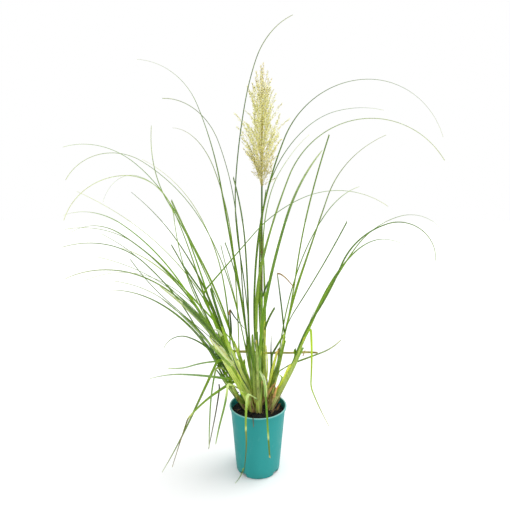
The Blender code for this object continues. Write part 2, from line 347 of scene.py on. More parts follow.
class Gather:
    """Many small shapes gathered into one mesh, each a copy of a pattern."""

    def __init__(self) -> None:
        """Start with nothing gathered."""
        self.places: list[np.ndarray] = []
        self.faces: list[np.ndarray] = []
        self.tints: list[np.ndarray] = []
        self.count = 0

    def add(self, places: np.ndarray, faces: np.ndarray, tints: np.ndarray) -> None:
        """Take in one shape.

        Args:
            places: its vertices, one a row.
            faces: its triangles, as rows of three vertex numbers.
            tints: a colour for each vertex, or one for all.
        """
        self.places.append(places)
        self.faces.append(faces + self.count)
        self.tints.append(np.broadcast_to(tints, places.shape))
        self.count += len(places)

    def copies(self, pattern: "Pattern", frames: np.ndarray, spots: np.ndarray, tints: np.ndarray) -> None:
        """Take in a copy of a pattern at each spot.

        Args:
            pattern: the shape that is copied.
            frames: for each copy a 3 by 3 matrix that turns and scales it.
            spots: where each copy stands.
            tints: the colour of each copy.
        """
        places = np.einsum("nij,vj->nvi", frames, pattern.places) + spots[:, None, :]
        steps = np.arange(len(spots))[:, None, None] * len(pattern.places)
        colours = np.repeat(tints[:, None, :], len(pattern.places), axis=1) * pattern.light[None, :, None]
        self.add(places.reshape(-1, 3), (pattern.faces[None] + steps).reshape(-1, 3), colours.reshape(-1, 3))

    def make(self, name: str) -> Piece:
        """Turn all that was gathered into one named object.

        Args:
            name: what the piece is called.

        Returns:
            The object, painted.
        """
        mesh = bpy.data.meshes.new(name)
        mesh.from_pydata(np.concatenate(self.places), [], np.concatenate(self.faces).tolist())
        obj = bpy.data.objects.new(name, mesh)
        bpy.context.scene.collection.objects.link(obj)
        mesh.shade_smooth()
        paint(obj, np.concatenate(self.tints))
        return obj


@dataclass
class Pattern:
    """A small shape kept as numbers, to be copied many times.

    places are its vertices, faces its triangles, and light how bright each vertex is.
    """

    places: np.ndarray
    faces: np.ndarray
    light: np.ndarray

    @classmethod
    def keep(cls, obj: Piece, light: Callable[[np.ndarray], np.ndarray] | None = None) -> "Pattern":
        """Keep a modelled shape as a pattern and clear it off the bench.

        Args:
            obj: the shape.
            light: gives the brightness of each vertex from the places.

        Returns:
            The pattern.
        """
        with Bench(obj) as bench:
            bench.everything("FACE")
            bpy.ops.mesh.quads_convert_to_tris()
        places = places_of(obj)
        faces = np.array([tuple(face.vertices) for face in obj.data.polygons])
        shine = light(places) if light else np.ones(len(places))
        bpy.data.objects.remove(obj)
        return cls(places, faces, shine)


def tube(line: np.ndarray, radii: np.ndarray, sides: int) -> tuple[np.ndarray, np.ndarray]:
    """Skin a fine tube over a line of points, closed at both ends.

    Args:
        line: the middles of its rings.
        radii: a radius for each.
        sides: how many points a ring has.

    Returns:
        Vertices and triangles.
    """
    ahead = unit(np.gradient(line, axis=0))
    spare = np.array((0.37, 0.61, 0.13))
    side = unit(np.cross(ahead, spare))
    other = np.cross(ahead, side)
    turn = 2 * pi * np.arange(sides) / sides
    ring = np.cos(turn)[None, :, None] * side[:, None] + np.sin(turn)[None, :, None] * other[:, None]
    places = (line[:, None] + ring * radii[:, None, None]).reshape(-1, 3)
    faces = []
    for k in range(len(line) - 1):
        for i in range(sides):
            a, b = k * sides + i, k * sides + (i + 1) % sides
            faces += [(a, b, b + sides), (a, b + sides, a + sides)]
    last = (len(line) - 1) * sides
    for i in range(1, sides - 1):
        faces += [(0, i + 1, i), (last, last + i, last + i + 1)]
    return places, np.array(faces)


# ================ finishes


class Shader:
    """A material's nodes, laid out one after another round one Principled shader."""

    def __init__(self, name: str, roughness: float = 0.5) -> None:
        """Start a material with a plain shader.

        Args:
            name: what the material is called.
            roughness: how rough it is all over.
        """
        self.material = bpy.data.materials.new(name)
        self.material.use_nodes = True
        self.tree = self.material.node_tree
        self.skin = next(node for node in self.tree.nodes if node.type == "BSDF_PRINCIPLED")
        self.skin.inputs["Roughness"].default_value = roughness

    def node(self, kind: str, **settings: object) -> bpy.types.Node:
        """Add a node with its settings.

        Args:
            kind: its type, without ShaderNode in front.
            settings: its values, by name.

        Returns:
            The node.
        """
        made = self.tree.nodes.new(f"ShaderNode{kind}")
        for name, value in settings.items():
            setattr(made, name, value)
        return made

    def feed(self, source: Socket, target: Socket) -> None:
        """Join an output to an input."""
        self.tree.links.new(source, target)

    def spot(self, stretch: Sequence[float] = (1, 1, 1)) -> Socket:
        """The place on the object, stretched along its axes.

        Args:
            stretch: a factor for each axis.

        Returns:
            The place.
        """
        place = self.node("TexCoord")
        scaled = self.node("Mapping")
        scaled.inputs["Scale"].default_value = stretch
        self.feed(place.outputs["Object"], scaled.inputs["Vector"])
        return scaled.outputs["Vector"]

    def noise(self, scale: float, detail: float = 3, stretch: Sequence[float] = (1, 1, 1)) -> Socket:
        """Soft random patches at so many to the metre.

        Args:
            scale: how many there are.
            detail: how many finer layers lie over them.
            stretch: a factor for each axis.

        Returns:
            A value round 0.5.
        """
        made = self.node("TexNoise")
        made.inputs["Scale"].default_value = scale
        made.inputs["Detail"].default_value = detail
        self.feed(self.spot(stretch), made.inputs["Vector"])
        return made.outputs["Fac"]

    def ramp(self, value: Socket, stops: Sequence[tuple[float, Colour]]) -> Socket:
        """Colours by a value, from stops of (value, colour).

        Args:
            value: what picks the colour.
            stops: values with their colours, rising.

        Returns:
            The colour.
        """
        made = self.node("ValToRGB")
        marks = made.color_ramp.elements
        while len(marks) < len(stops):
            marks.new(0.5)
        for mark, (place, colour) in zip(marks, stops):
            mark.position = place
            mark.color = (*colour, 1)
        self.feed(value, made.inputs["Fac"])
        return made.outputs["Color"]

    def span(self, value: Socket, low: float, high: float,
             start: float = 0, end: float = 1) -> Socket:
        """Spread a value between start and end over low to high.

        Args:
            value: what is spread.
            low: what start becomes.
            high: what end becomes.
            start: one end of the value.
            end: the other end.

        Returns:
            The spread value.
        """
        made = self.node("MapRange")
        for name, number in (("From Min", start), ("From Max", end), ("To Min", low), ("To Max", high)):
            made.inputs[name].default_value = number
        self.feed(value, made.inputs["Value"])
        return made.outputs["Result"]

    def sum(self, kind: str, first: Socket, second: Socket | float) -> Socket:
        """One step of arithmetic, such as MULTIPLY or ADD.

        Args:
            kind: which step.
            first: the first value.
            second: the second, or a fixed number.

        Returns:
            The result.
        """
        made = self.node("Math", operation=kind)
        self.feed(first, made.inputs[0])
        if isinstance(second, (int, float)):
            made.inputs[1].default_value = second
        else:
            self.feed(second, made.inputs[1])
        return made.outputs[0]

    def mix(self, kind: str, amount: Socket | float, first: Socket,
            second: Socket | Colour) -> Socket:
        """Mix two colours in a blend mode, such as MULTIPLY.

        Args:
            kind: the blend mode.
            amount: how much of the second comes in, from 0 to 1.
            first: the colour below.
            second: the colour laid over it.

        Returns:
            The mixed colour.
        """
        made = self.node("Mix", data_type="RGBA", blend_type=kind)
        if isinstance(amount, (int, float)):
            made.inputs["Factor"].default_value = amount
        else:
            self.feed(amount, made.inputs["Factor"])
        self.feed(first, made.inputs["A"])
        if isinstance(second, tuple):
            made.inputs["B"].default_value = (*second, 1)
        else:
            self.feed(second, made.inputs["B"])
        return made.outputs["Result"]

    def grey(self, value: Socket) -> Socket:
        """A value as a grey colour.

        Args:
            value: how light it is.

        Returns:
            The colour.
        """
        made = self.node("CombineColor")
        for name in ("Red", "Green", "Blue"):
            self.feed(value, made.inputs[name])
        return made.outputs["Color"]

    def tint(self) -> Socket:
        """The colours painted on the piece."""
        return self.node("Attribute", attribute_name="tint").outputs["Color"]

    def colour(self, socket: Socket) -> None:
        """Set what colours the surface."""
        self.feed(socket, self.skin.inputs["Base Color"])

    def roughness(self, socket: Socket) -> None:
        """Set how rough the surface is."""
        self.feed(socket, self.skin.inputs["Roughness"])

    def glow_through(self, weight: float, reach: Sequence[float]) -> None:
        """Let light spread inside the surface.

        Args:
            weight: how much of the light goes in, from 0 to 1.
            reach: how far red, green and blue go, in metres.
        """
        self.skin.inputs["Subsurface Weight"].default_value = weight
        self.skin.inputs["Subsurface Radius"].default_value = tuple(part / max(reach) for part in reach)
        self.skin.inputs["Subsurface Scale"].default_value = max(reach)

    def bump(self, height: Socket, depth: float, strength: float = 1) -> None:
        """Raise the surface by a height.

        Args:
            height: where it is raised, from 0 to 1.
            depth: how far at most, in metres.
            strength: how much of that shows.
        """
        made = self.node("Bump")
        made.inputs["Distance"].default_value = depth
        made.inputs["Strength"].default_value = strength
        self.feed(height, made.inputs["Height"])
        self.feed(made.outputs["Normal"], self.skin.inputs["Normal"])


@dataclass(frozen=True)
class PlasticFinish:
    """Moulded teal plastic with a faint orange-peel skin, scuffs, soil dust low down and a painted highlight along the
    top of the lip.
    """

    name: str = "teal_plastic"
    light: Colour = (0.18, 0.585, 0.575)
    deep: Colour = (0.14, 0.535, 0.525)
    dust: Colour = (0.3, 0.4, 0.35)
    # pale colour of the real scuffs, and of the painted highlight along the lip
    scuff_and_highlight: Colour = (0.66, 0.86, 0.84)
    lip: tuple[float, float] = (0.1925, 0.1948)     # painted highlight: the lip pales towards the pale colour between these heights

    def material(self) -> bpy.types.Material:
        """Make the material.

        Returns:
            The material, with its nodes joined up.
        """
        shader = Shader(self.name)
        flow = shader.noise(9, 2, (1, 1, 0.25))
        base = shader.ramp(flow, ((0.35, linear(self.deep)), (0.65, linear(self.light))))
        scuffs = shader.ramp(shader.noise(70, 6, (1, 1, 0.35)), ((0.62, (0, 0, 0)), (0.74, (1, 1, 1))))
        base = shader.mix("MIX", shader.sum("MULTIPLY", scuffs, 0.06), base, linear(self.scuff_and_highlight))
        rise = shader.node("SeparateXYZ")
        shader.feed(shader.spot(), rise.inputs[0])
        low = shader.span(rise.outputs["Z"], 1, 0, 0.0, 0.02)
        dirt = shader.sum("MULTIPLY", low, shader.span(shader.noise(60, 5), 0, 0.35, 0.4, 0.8))
        base = shader.mix("MIX", dirt, base, linear(self.dust))
        # painted highlight: the top of the lip is mixed towards the pale colour
        edge = shader.span(rise.outputs["Z"], 0, 0.6, *self.lip)
        shader.colour(shader.mix("MIX", edge, base, linear(self.scuff_and_highlight)))
        shader.roughness(shader.span(shader.noise(45, 4), 0.34, 0.52, 0.3, 0.7))
        shader.bump(shader.noise(900, 2), 0.00015, 0.5)
        shader.skin.inputs["Specular IOR Level"].default_value = 0.12
        return shader.material


@dataclass(frozen=True)
class CompostFinish:
    """Damp peat compost: nearly black, with brown bark and pale fibres, by its painted tint."""

    name: str = "compost"

    def material(self) -> bpy.types.Material:
        """Make the material.

        Returns:
            The material, with its nodes joined up.
        """
        shader = Shader(self.name, 0.9)
        tint = shader.tint()
        grain = shader.span(shader.noise(420, 6), 0.35, 1.7, 0.3, 0.75)
        shader.colour(shader.mix("MULTIPLY", 1.0, tint, shader.grey(grain)))
        shader.roughness(shader.span(shader.noise(160, 3), 0.75, 1.0, 0.3, 0.7))
        shader.bump(shader.noise(600, 8), 0.0012)
        return shader.material


@dataclass(frozen=True)
class LeafFinish:
    """A living leaf: painted tint, fine veins along it, a pale midrib and a waxy skin.

    veins is how many veins lie across a leaf, ribbing how much they shade it, and rib how
    strong the pale midrib is. smoothness is the least and greatest roughness, and glow how
    much light spreads inside the leaf.
    """

    name: str = "leaf"
    veins: int = 9
    ribbing: float = 0.065
    rib: float = 0.32
    smoothness: tuple[float, float] = (0.4, 0.58)
    glow: float = 0.2

    def material(self) -> bpy.types.Material:
        """Make the material.

        Returns:
            The material, with its nodes joined up.
        """
        shader = Shader(self.name)
        tint = shader.tint()
        across = shader.node("SeparateXYZ")
        shader.feed(shader.node("TexCoord").outputs["UV"], across.inputs[0])
        sideways = across.outputs["X"]
        wave = shader.sum("SINE", shader.sum("MULTIPLY", sideways, 2 * pi * self.veins), 0)
        streaks = shader.noise(130, 3, (1, 1, 0.12))
        ribs = shader.span(wave, 1 - self.ribbing, 1 + self.ribbing, -1, 1)
        light = shader.sum("ADD", ribs, shader.span(streaks, -0.22, 0.22, 0.25, 0.75))
        base = shader.mix("MULTIPLY", 1.0, tint, shader.grey(light))
        patches = shader.ramp(shader.noise(28, 2), ((0.4, (0.93, 1.0, 0.9)), (0.62, (1.04, 1.03, 0.94))))
        base = shader.mix("MULTIPLY", 0.8, base, patches)
        middle = shader.sum("ABSOLUTE", shader.sum("SUBTRACT", sideways, 0.5), 0)
        stripe = shader.span(middle, self.rib, 0, 0.035, 0.075)
        base = shader.mix("MIX", stripe, base, linear((0.74, 0.8, 0.52)))
        shader.colour(base)
        shader.roughness(shader.span(shader.noise(90, 2), *self.smoothness, 0.3, 0.7))
        shader.skin.inputs["Specular IOR Level"].default_value = 0.28
        shader.bump(shader.sum("ADD", wave, shader.sum("MULTIPLY", streaks, 2)), 0.00012, 0.6)
        shader.glow_through(self.glow, (0.003, 0.004, 0.0009))
        return shader.material


@dataclass(frozen=True)
class DryFinish:
    """Dead plant matter: painted tint, long fibres and dark flecks."""

    name: str = "dry_stem"
    flecks: float = 0.55

    def material(self) -> bpy.types.Material:
        """Make the material.

        Returns:
            The material, with its nodes joined up.
        """
        shader = Shader(self.name, 0.8)
        tint = shader.tint()
        fibres = shader.span(shader.noise(220, 4, (0.2, 1, 0.3)), 1 - self.flecks, 1.25, 0.3, 0.7)
        shader.colour(shader.mix("MULTIPLY", 1.0, tint, shader.grey(fibres)))
        shader.roughness(shader.span(shader.noise(120, 3), 0.65, 0.9, 0.3, 0.7))
        shader.bump(shader.noise(500, 5, (0.3, 1, 0.4)), 0.0003, 0.8)
        return shader.material


@dataclass(frozen=True)
class PlumeFinish:
    """Silky spikelets: painted tint, with light spreading inside them."""

    name: str = "plume"

    def material(self) -> bpy.types.Material:
        """Make the material.

        Returns:
            The material, with its nodes joined up.
        """
        shader = Shader(self.name, 0.75)
        tint = shader.tint()
        tuft = shader.span(shader.noise(140, 3), 0.97, 1.06, 0.3, 0.7)
        shader.colour(shader.mix("MULTIPLY", 1.0, tint, shader.grey(tuft)))
        shader.glow_through(0.5, (0.01, 0.009, 0.005))
        shader.skin.inputs["Specular IOR Level"].default_value = 0.08
        return shader.material


@dataclass(frozen=True)
class FloorFinish:
    """A matt pale floor."""

    name: str = "studio_floor"
    colour: Colour = (0.91, 0.91, 0.91)

    def material(self) -> bpy.types.Material:
        """Make the material.

        Returns:
            The material, with its nodes joined up.
        """
        shader = Shader(self.name, 0.9)
        cloud = shader.ramp(shader.noise(0.7, 1), ((0.3, self.colour), (0.7, tuple(c * 1.01 for c in self.colour))))
        shader.colour(cloud)
        shader.skin.inputs["Specular IOR Level"].default_value = 0.1
        return shader.material


# ================ tints along a leaf


class Palette(Enum):
    """Colours along a part, as stops of (share of its length, colour)."""

    def at(self, shares: np.ndarray) -> np.ndarray:
        """Colours at shares of the length, as a shader reads them."""
        places, colours = zip(*self.value)
        return between(shares, places, np.array([linear(colour) for colour in colours]))


class Tint(Palette):
    """How a blade is coloured, from where it leaves its sheath to its tip."""

    GREEN = ((0.0, (0.56, 0.7, 0.18)), (0.08, (0.42, 0.58, 0.07)), (0.3, (0.35, 0.5, 0.09)), (0.65, (0.3, 0.45, 0.2)),
        (0.85, (0.5, 0.59, 0.42)), (1.0, (0.74, 0.78, 0.64)))
    DARK = ((0.0, (0.36, 0.5, 0.1)), (0.1, (0.26, 0.4, 0.05)), (0.3, (0.25, 0.38, 0.08)), (0.6, (0.23, 0.37, 0.18)),
        (0.85, (0.34, 0.45, 0.3)), (1.0, (0.66, 0.7, 0.58)))
    BRIGHT = ((0.0, (0.72, 0.82, 0.26)), (0.08, (0.54, 0.7, 0.1)), (0.25, (0.44, 0.6, 0.08)),
        (0.55, (0.34, 0.5, 0.18)), (0.8, (0.5, 0.59, 0.42)), (1.0, (0.74, 0.78, 0.64)))
    OLIVE = ((0.0, (0.6, 0.72, 0.22)), (0.15, (0.46, 0.6, 0.12)), (0.35, (0.4, 0.53, 0.12)), (0.55, (0.4, 0.5, 0.28)),
        (0.8, (0.48, 0.54, 0.4)), (1.0, (0.66, 0.69, 0.56)))
    YELLOWISH = ((0.0, (0.56, 0.68, 0.2)), (0.25, (0.38, 0.54, 0.14)), (0.5, (0.52, 0.62, 0.34)),
        (0.75, (0.64, 0.7, 0.48)), (1.0, (0.8, 0.82, 0.66)))
    GREY = ((0.0, (0.54, 0.66, 0.24)), (0.2, (0.42, 0.54, 0.2)), (0.6, (0.46, 0.56, 0.4)), (1.0, (0.74, 0.77, 0.66)))
    CREAM = ((0.0, (0.84, 0.88, 0.52)), (0.4, (0.88, 0.93, 0.58)), (0.8, (0.9, 0.94, 0.6)), (1.0, (0.84, 0.84, 0.52)))
    YELLOW = ((0.0, (0.64, 0.72, 0.28)), (0.4, (0.8, 0.87, 0.3)), (0.8, (0.86, 0.92, 0.34)),
        (1.0, (0.86, 0.85, 0.38)))
    LIME = ((0.0, (0.55, 0.72, 0.26)), (0.16, (0.52, 0.7, 0.16)), (0.3, (0.66, 0.8, 0.12)), (0.6, (0.56, 0.7, 0.1)),
        (0.84, (0.54, 0.64, 0.22)), (0.88, (0.62, 0.68, 0.42)), (1.0, (0.74, 0.75, 0.58)))
    BLEACHED_FOLD = ((0.0, (0.6, 0.7, 0.34)), (0.12, (0.8, 0.88, 0.64)), (0.34, (0.74, 0.84, 0.52)),
        (0.42, (0.52, 0.66, 0.24)), (0.57, (0.5, 0.62, 0.22)), (0.6, (0.86, 0.9, 0.58)), (0.63, (0.5, 0.55, 0.2)),
        (0.78, (0.34, 0.38, 0.18)), (1.0, (0.14, 0.24, 0.2)))
    SILVER_FOLD = ((0.0, (0.58, 0.7, 0.34)), (0.14, (0.8, 0.88, 0.66)), (0.26, (0.66, 0.78, 0.46)),
        (0.4, (0.34, 0.52, 0.16)), (0.62, (0.36, 0.56, 0.12)), (0.74, (0.5, 0.66, 0.22)), (0.8, (0.8, 0.86, 0.56)),
        (0.825, (0.34, 0.46, 0.14)), (0.985, (0.32, 0.42, 0.12)), (1.0, (0.78, 0.74, 0.48)))
    KINKED = ((0.0, (0.5, 0.64, 0.28)), (0.08, (0.42, 0.58, 0.18)), (0.5, (0.46, 0.62, 0.2)),
        (0.55, (0.8, 0.86, 0.54)), (0.59, (0.32, 0.27, 0.16)), (0.66, (0.36, 0.4, 0.16)), (0.78, (0.46, 0.38, 0.3)),
        (1.0, (0.52, 0.44, 0.38)))
    PALE_FOLD = ((0.0, (0.58, 0.68, 0.32)), (0.25, (0.8, 0.86, 0.58)), (0.36, (0.78, 0.85, 0.58)),
        (0.48, (0.42, 0.56, 0.26)), (0.8, (0.4, 0.52, 0.28)), (1.0, (0.6, 0.66, 0.48)))
    GREEN_FOLD = ((0.0, (0.6, 0.7, 0.34)), (0.2, (0.68, 0.76, 0.44)), (0.33, (0.62, 0.7, 0.34)),
        (0.42, (0.4, 0.56, 0.24)), (0.85, (0.5, 0.6, 0.4)), (1.0, (0.74, 0.76, 0.62)))
    SHEATH_CREAM = ((0.0, (0.58, 0.68, 0.26)), (0.3, (0.74, 0.84, 0.36)), (0.55, (0.9, 0.99, 0.54)),
        (0.85, (0.93, 1.0, 0.64)), (1.0, (0.92, 0.96, 0.66)))
    SHEATH_LIME = ((0.0, (0.56, 0.6, 0.3)), (0.3, (0.62, 0.68, 0.36)), (0.7, (0.56, 0.65, 0.33)),
        (0.92, (0.5, 0.61, 0.24)), (1.0, (0.86, 0.74, 0.3)))
    COLUMN = ((0.0, (0.54, 0.57, 0.27)), (0.4, (0.48, 0.55, 0.24)), (0.7, (0.36, 0.47, 0.17)),
        (1.0, (0.27, 0.4, 0.12)))
    # near-black, for strips of painted shade in the gaps of the clump
    SHADE = ((0.0, (0.1, 0.13, 0.05)), (1.0, (0.13, 0.2, 0.07)))
    SHEATH_GREEN = ((0.0, (0.56, 0.6, 0.26)), (0.3, (0.74, 0.79, 0.42)), (0.6, (0.7, 0.79, 0.42)),
        (0.8, (0.54, 0.66, 0.2)), (1.0, (0.4, 0.56, 0.1)))
    SHEATH_DARK = ((0.0, (0.5, 0.54, 0.22)), (0.4, (0.36, 0.48, 0.14)), (0.7, (0.4, 0.54, 0.18)),
        (0.85, (0.68, 0.78, 0.34)), (1.0, (0.62, 0.76, 0.3)))
    YELLOW_RUST = ((0.0, (0.6, 0.64, 0.28)), (0.4, (0.74, 0.84, 0.32)), (0.85, (0.8, 0.86, 0.34)),
        (0.93, (0.78, 0.66, 0.4)), (1.0, (0.8, 0.6, 0.42)))
    TAN = ((0.0, (0.6, 0.46, 0.28)), (0.5, (0.88, 0.7, 0.4)), (1.0, (0.84, 0.62, 0.38)))
    PAPER = ((0.0, (0.72, 0.8, 0.46)), (0.4, (0.84, 0.9, 0.66)), (1.0, (0.94, 0.96, 0.84)))
    WITHERED = ((0.0, (0.25, 0.23, 0.14)), (0.5, (0.35, 0.32, 0.22)), (1.0, (0.48, 0.44, 0.34)))
    STRAW = ((0.0, (0.66, 0.54, 0.34)), (0.3, (0.76, 0.66, 0.44)), (1.0, (0.62, 0.48, 0.3)))
    RUSSET = ((0.0, (0.5, 0.38, 0.24)), (0.4, (0.62, 0.46, 0.29)), (1.0, (0.44, 0.31, 0.2)))


class Skin(Palette):
    """How sheaths are coloured, from the compost to where the blade leaves."""

    CREAM = ((0.0, (0.66, 0.66, 0.32)), (0.25, (0.8, 0.82, 0.42)), (0.7, (0.92, 0.94, 0.58)),
        (1.0, (0.66, 0.8, 0.32)))
    YELLOW = ((0.0, (0.66, 0.58, 0.3)), (0.25, (0.7, 0.75, 0.32)), (0.7, (0.76, 0.85, 0.34)),
        (1.0, (0.58, 0.74, 0.24)))
    LIGHT = ((0.0, (0.62, 0.62, 0.3)), (0.35, (0.72, 0.78, 0.36)), (0.75, (0.7, 0.82, 0.36)),
        (1.0, (0.54, 0.72, 0.24)))
    OLIVE = ((0.0, (0.5, 0.5, 0.22)), (0.5, (0.56, 0.66, 0.24)), (1.0, (0.44, 0.6, 0.18)))
    GREEN = ((0.0, (0.46, 0.5, 0.22)), (0.5, (0.46, 0.6, 0.2)), (1.0, (0.38, 0.56, 0.16)))
    DEAD = ((0.0, (0.58, 0.42, 0.26)), (0.6, (0.8, 0.66, 0.4)), (1.0, (0.86, 0.76, 0.5)))


# ================ pot


@dataclass
class NurseryPot:
    """The tapered pot: thin wall, rolled lip, a floor set up inside its foot, drain holes and notches."""

    node: str = "pot"
    base_radius: float = 0.065
    shoulder_radius: float = 0.0815
    lip_radius: float = 0.0855
    lip_height: float = 0.007
    wall: float = 0.0016
    floor: float = 0.0025
    recess: float = 0.01           # the underside of the floor stands this high
    notch_turns: tuple[float, ...] = (42, 136, 228, 323)        # degrees round from +X
    notch_size: tuple[float, float, float] = (0.016, 0.026, 0.018)
    holes: int = 5
    hole_first: float = 17
    hole_radius: float = 0.005
    hole_ring: float = 0.036
    sides: int = 160
    edge_roll: float = 0.0021       # radius of the lip's edge
    foot_roll: float = 0.003        # and of the wall's foot
    height: float = field(init=False)

    def __post_init__(self) -> None:
        """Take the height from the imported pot."""
        self.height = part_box(self.node)[1].z

    def outside(self, height: float) -> float:
        """Outer radius of the wall at a height."""
        rise = height / (self.height - self.lip_height)
        return self.base_radius + (self.shoulder_radius - self.base_radius) * rise

    def inside(self, height: float) -> float:
        """Inner radius of the wall at a height."""
        return self.outside(height) - self.wall

    def profile(self) -> list[tuple[float, float]]:
        """Every ring, from the middle of the underside round to the inside floor.

        Returns:
            A radius and a height for each.
        """
        shoulder = self.height - self.lip_height
        curve, roll = self.foot_roll, self.edge_roll
        foot = self.base_radius - curve - 0.001
        rings = [(0.012, self.recess), (0.5 * self.base_radius, self.recess), (foot - 0.001, self.recess)]
        rings += [(foot, self.recess - 0.001), (foot, 0.0005), (foot + 0.0005, 0.0), (self.base_radius - curve, 0.0)]
        for k in range(1, 4):
            turn = radians(-90 + 30 * k)
            rings.append((self.base_radius - curve + curve * cos(turn), curve + curve * sin(turn)))
        rings += [(self.outside(share * shoulder), share * shoulder) for share in (0.15, 0.35, 0.6, 0.85, 0.96)]
        rings += [
            (self.outside(shoulder) - 0.0001, shoulder - 0.001),
            (self.outside(shoulder) + 0.0008, shoulder - 0.0001),
            (self.lip_radius - 0.002, shoulder + 0.0002),
            (self.lip_radius - 0.0006, shoulder + 0.0009),
        ]
        for k in range(7):
            turn = radians(-10 + 100 * k / 6)
            rings.append((self.lip_radius - roll + roll * cos(turn), self.height - roll + roll * sin(turn)))
        mouth = self.inside(self.height)
        for k in range(1, 6):
            turn = radians(90 + 90 * k / 5)
            rings.append((mouth + roll + roll * cos(turn), self.height - roll + roll * sin(turn)))
        rings += [(self.inside(share * self.height), share * self.height) for share in (0.95, 0.8, 0.5, 0.2)]
        top = self.recess + self.floor
        rings += [(self.inside(top) - 0.0005, top + 0.001), (self.inside(top) - 0.002, top)]
        rings += [(0.5 * self.base_radius, top), (0.012, top)]
        return rings

    def cut(self, pot: Piece, cutter: Piece) -> None:
        """Cut a shape out of the pot and clear the cutter away."""
        modify(pot, "BOOLEAN", object=cutter, operation="DIFFERENCE", solver="EXACT")
        bpy.data.objects.remove(cutter)

    def notch_cutter(self, turn: float) -> Piece:
        """A wedge that is a little wider at the bottom, at an angle round the foot.

        Args:
            turn: the angle, in radians.

        Returns:
            The wedge.
        """
        spot = (self.base_radius * cos(turn), self.base_radius * sin(turn), 0)
        bpy.ops.mesh.primitive_cube_add(size=1, location=spot, rotation=(0, 0, turn))
        cutter = bpy.context.active_object
        cutter.scale = self.notch_size
        bpy.ops.object.transform_apply(location=True, rotation=True, scale=True)
        with Bench(cutter) as bench:
            bench.faces(lambda middle, normal: normal.z > 0.9)
            middle = (*spot[:2], self.notch_size[2] / 2)
            bpy.ops.transform.resize(value=(0.88, 0.88, 1), center_override=middle)
            bpy.ops.mesh.bevel(offset=0.0008, segments=2, affect="EDGES")
        return cutter

    def hole_cutter(self, turn: float) -> Piece:
        """A round punch through the floor.

        Args:
            turn: its angle round from +X, in radians.

        Returns:
            The punch.
        """
        spot = (self.hole_ring * cos(turn), self.hole_ring * sin(turn), self.recess + self.floor / 2)
        bpy.ops.mesh.primitive_cylinder_add(vertices=32, radius=self.hole_radius, depth=4 * self.floor, location=spot)
        return bpy.context.active_object

    def build(self) -> None:
        """Turn the pot, cut its notches and holes, soften its cut edges and dress it."""
        pot = raise_rings(self.profile(), self.sides)
        for turn in self.notch_turns:
            self.cut(pot, self.notch_cutter(radians(turn)))
        for k in range(self.holes):
            self.cut(pot, self.hole_cutter(radians(self.hole_first + 360 * k / self.holes)))
        modify(pot, "BEVEL", width=0.0003, segments=2, limit_method="ANGLE", angle_limit=radians(50))
        settle(pot, "nursery_pot", 30)
        hand_in(pot, PlasticFinish().material(), [self.node])


# ================ compost


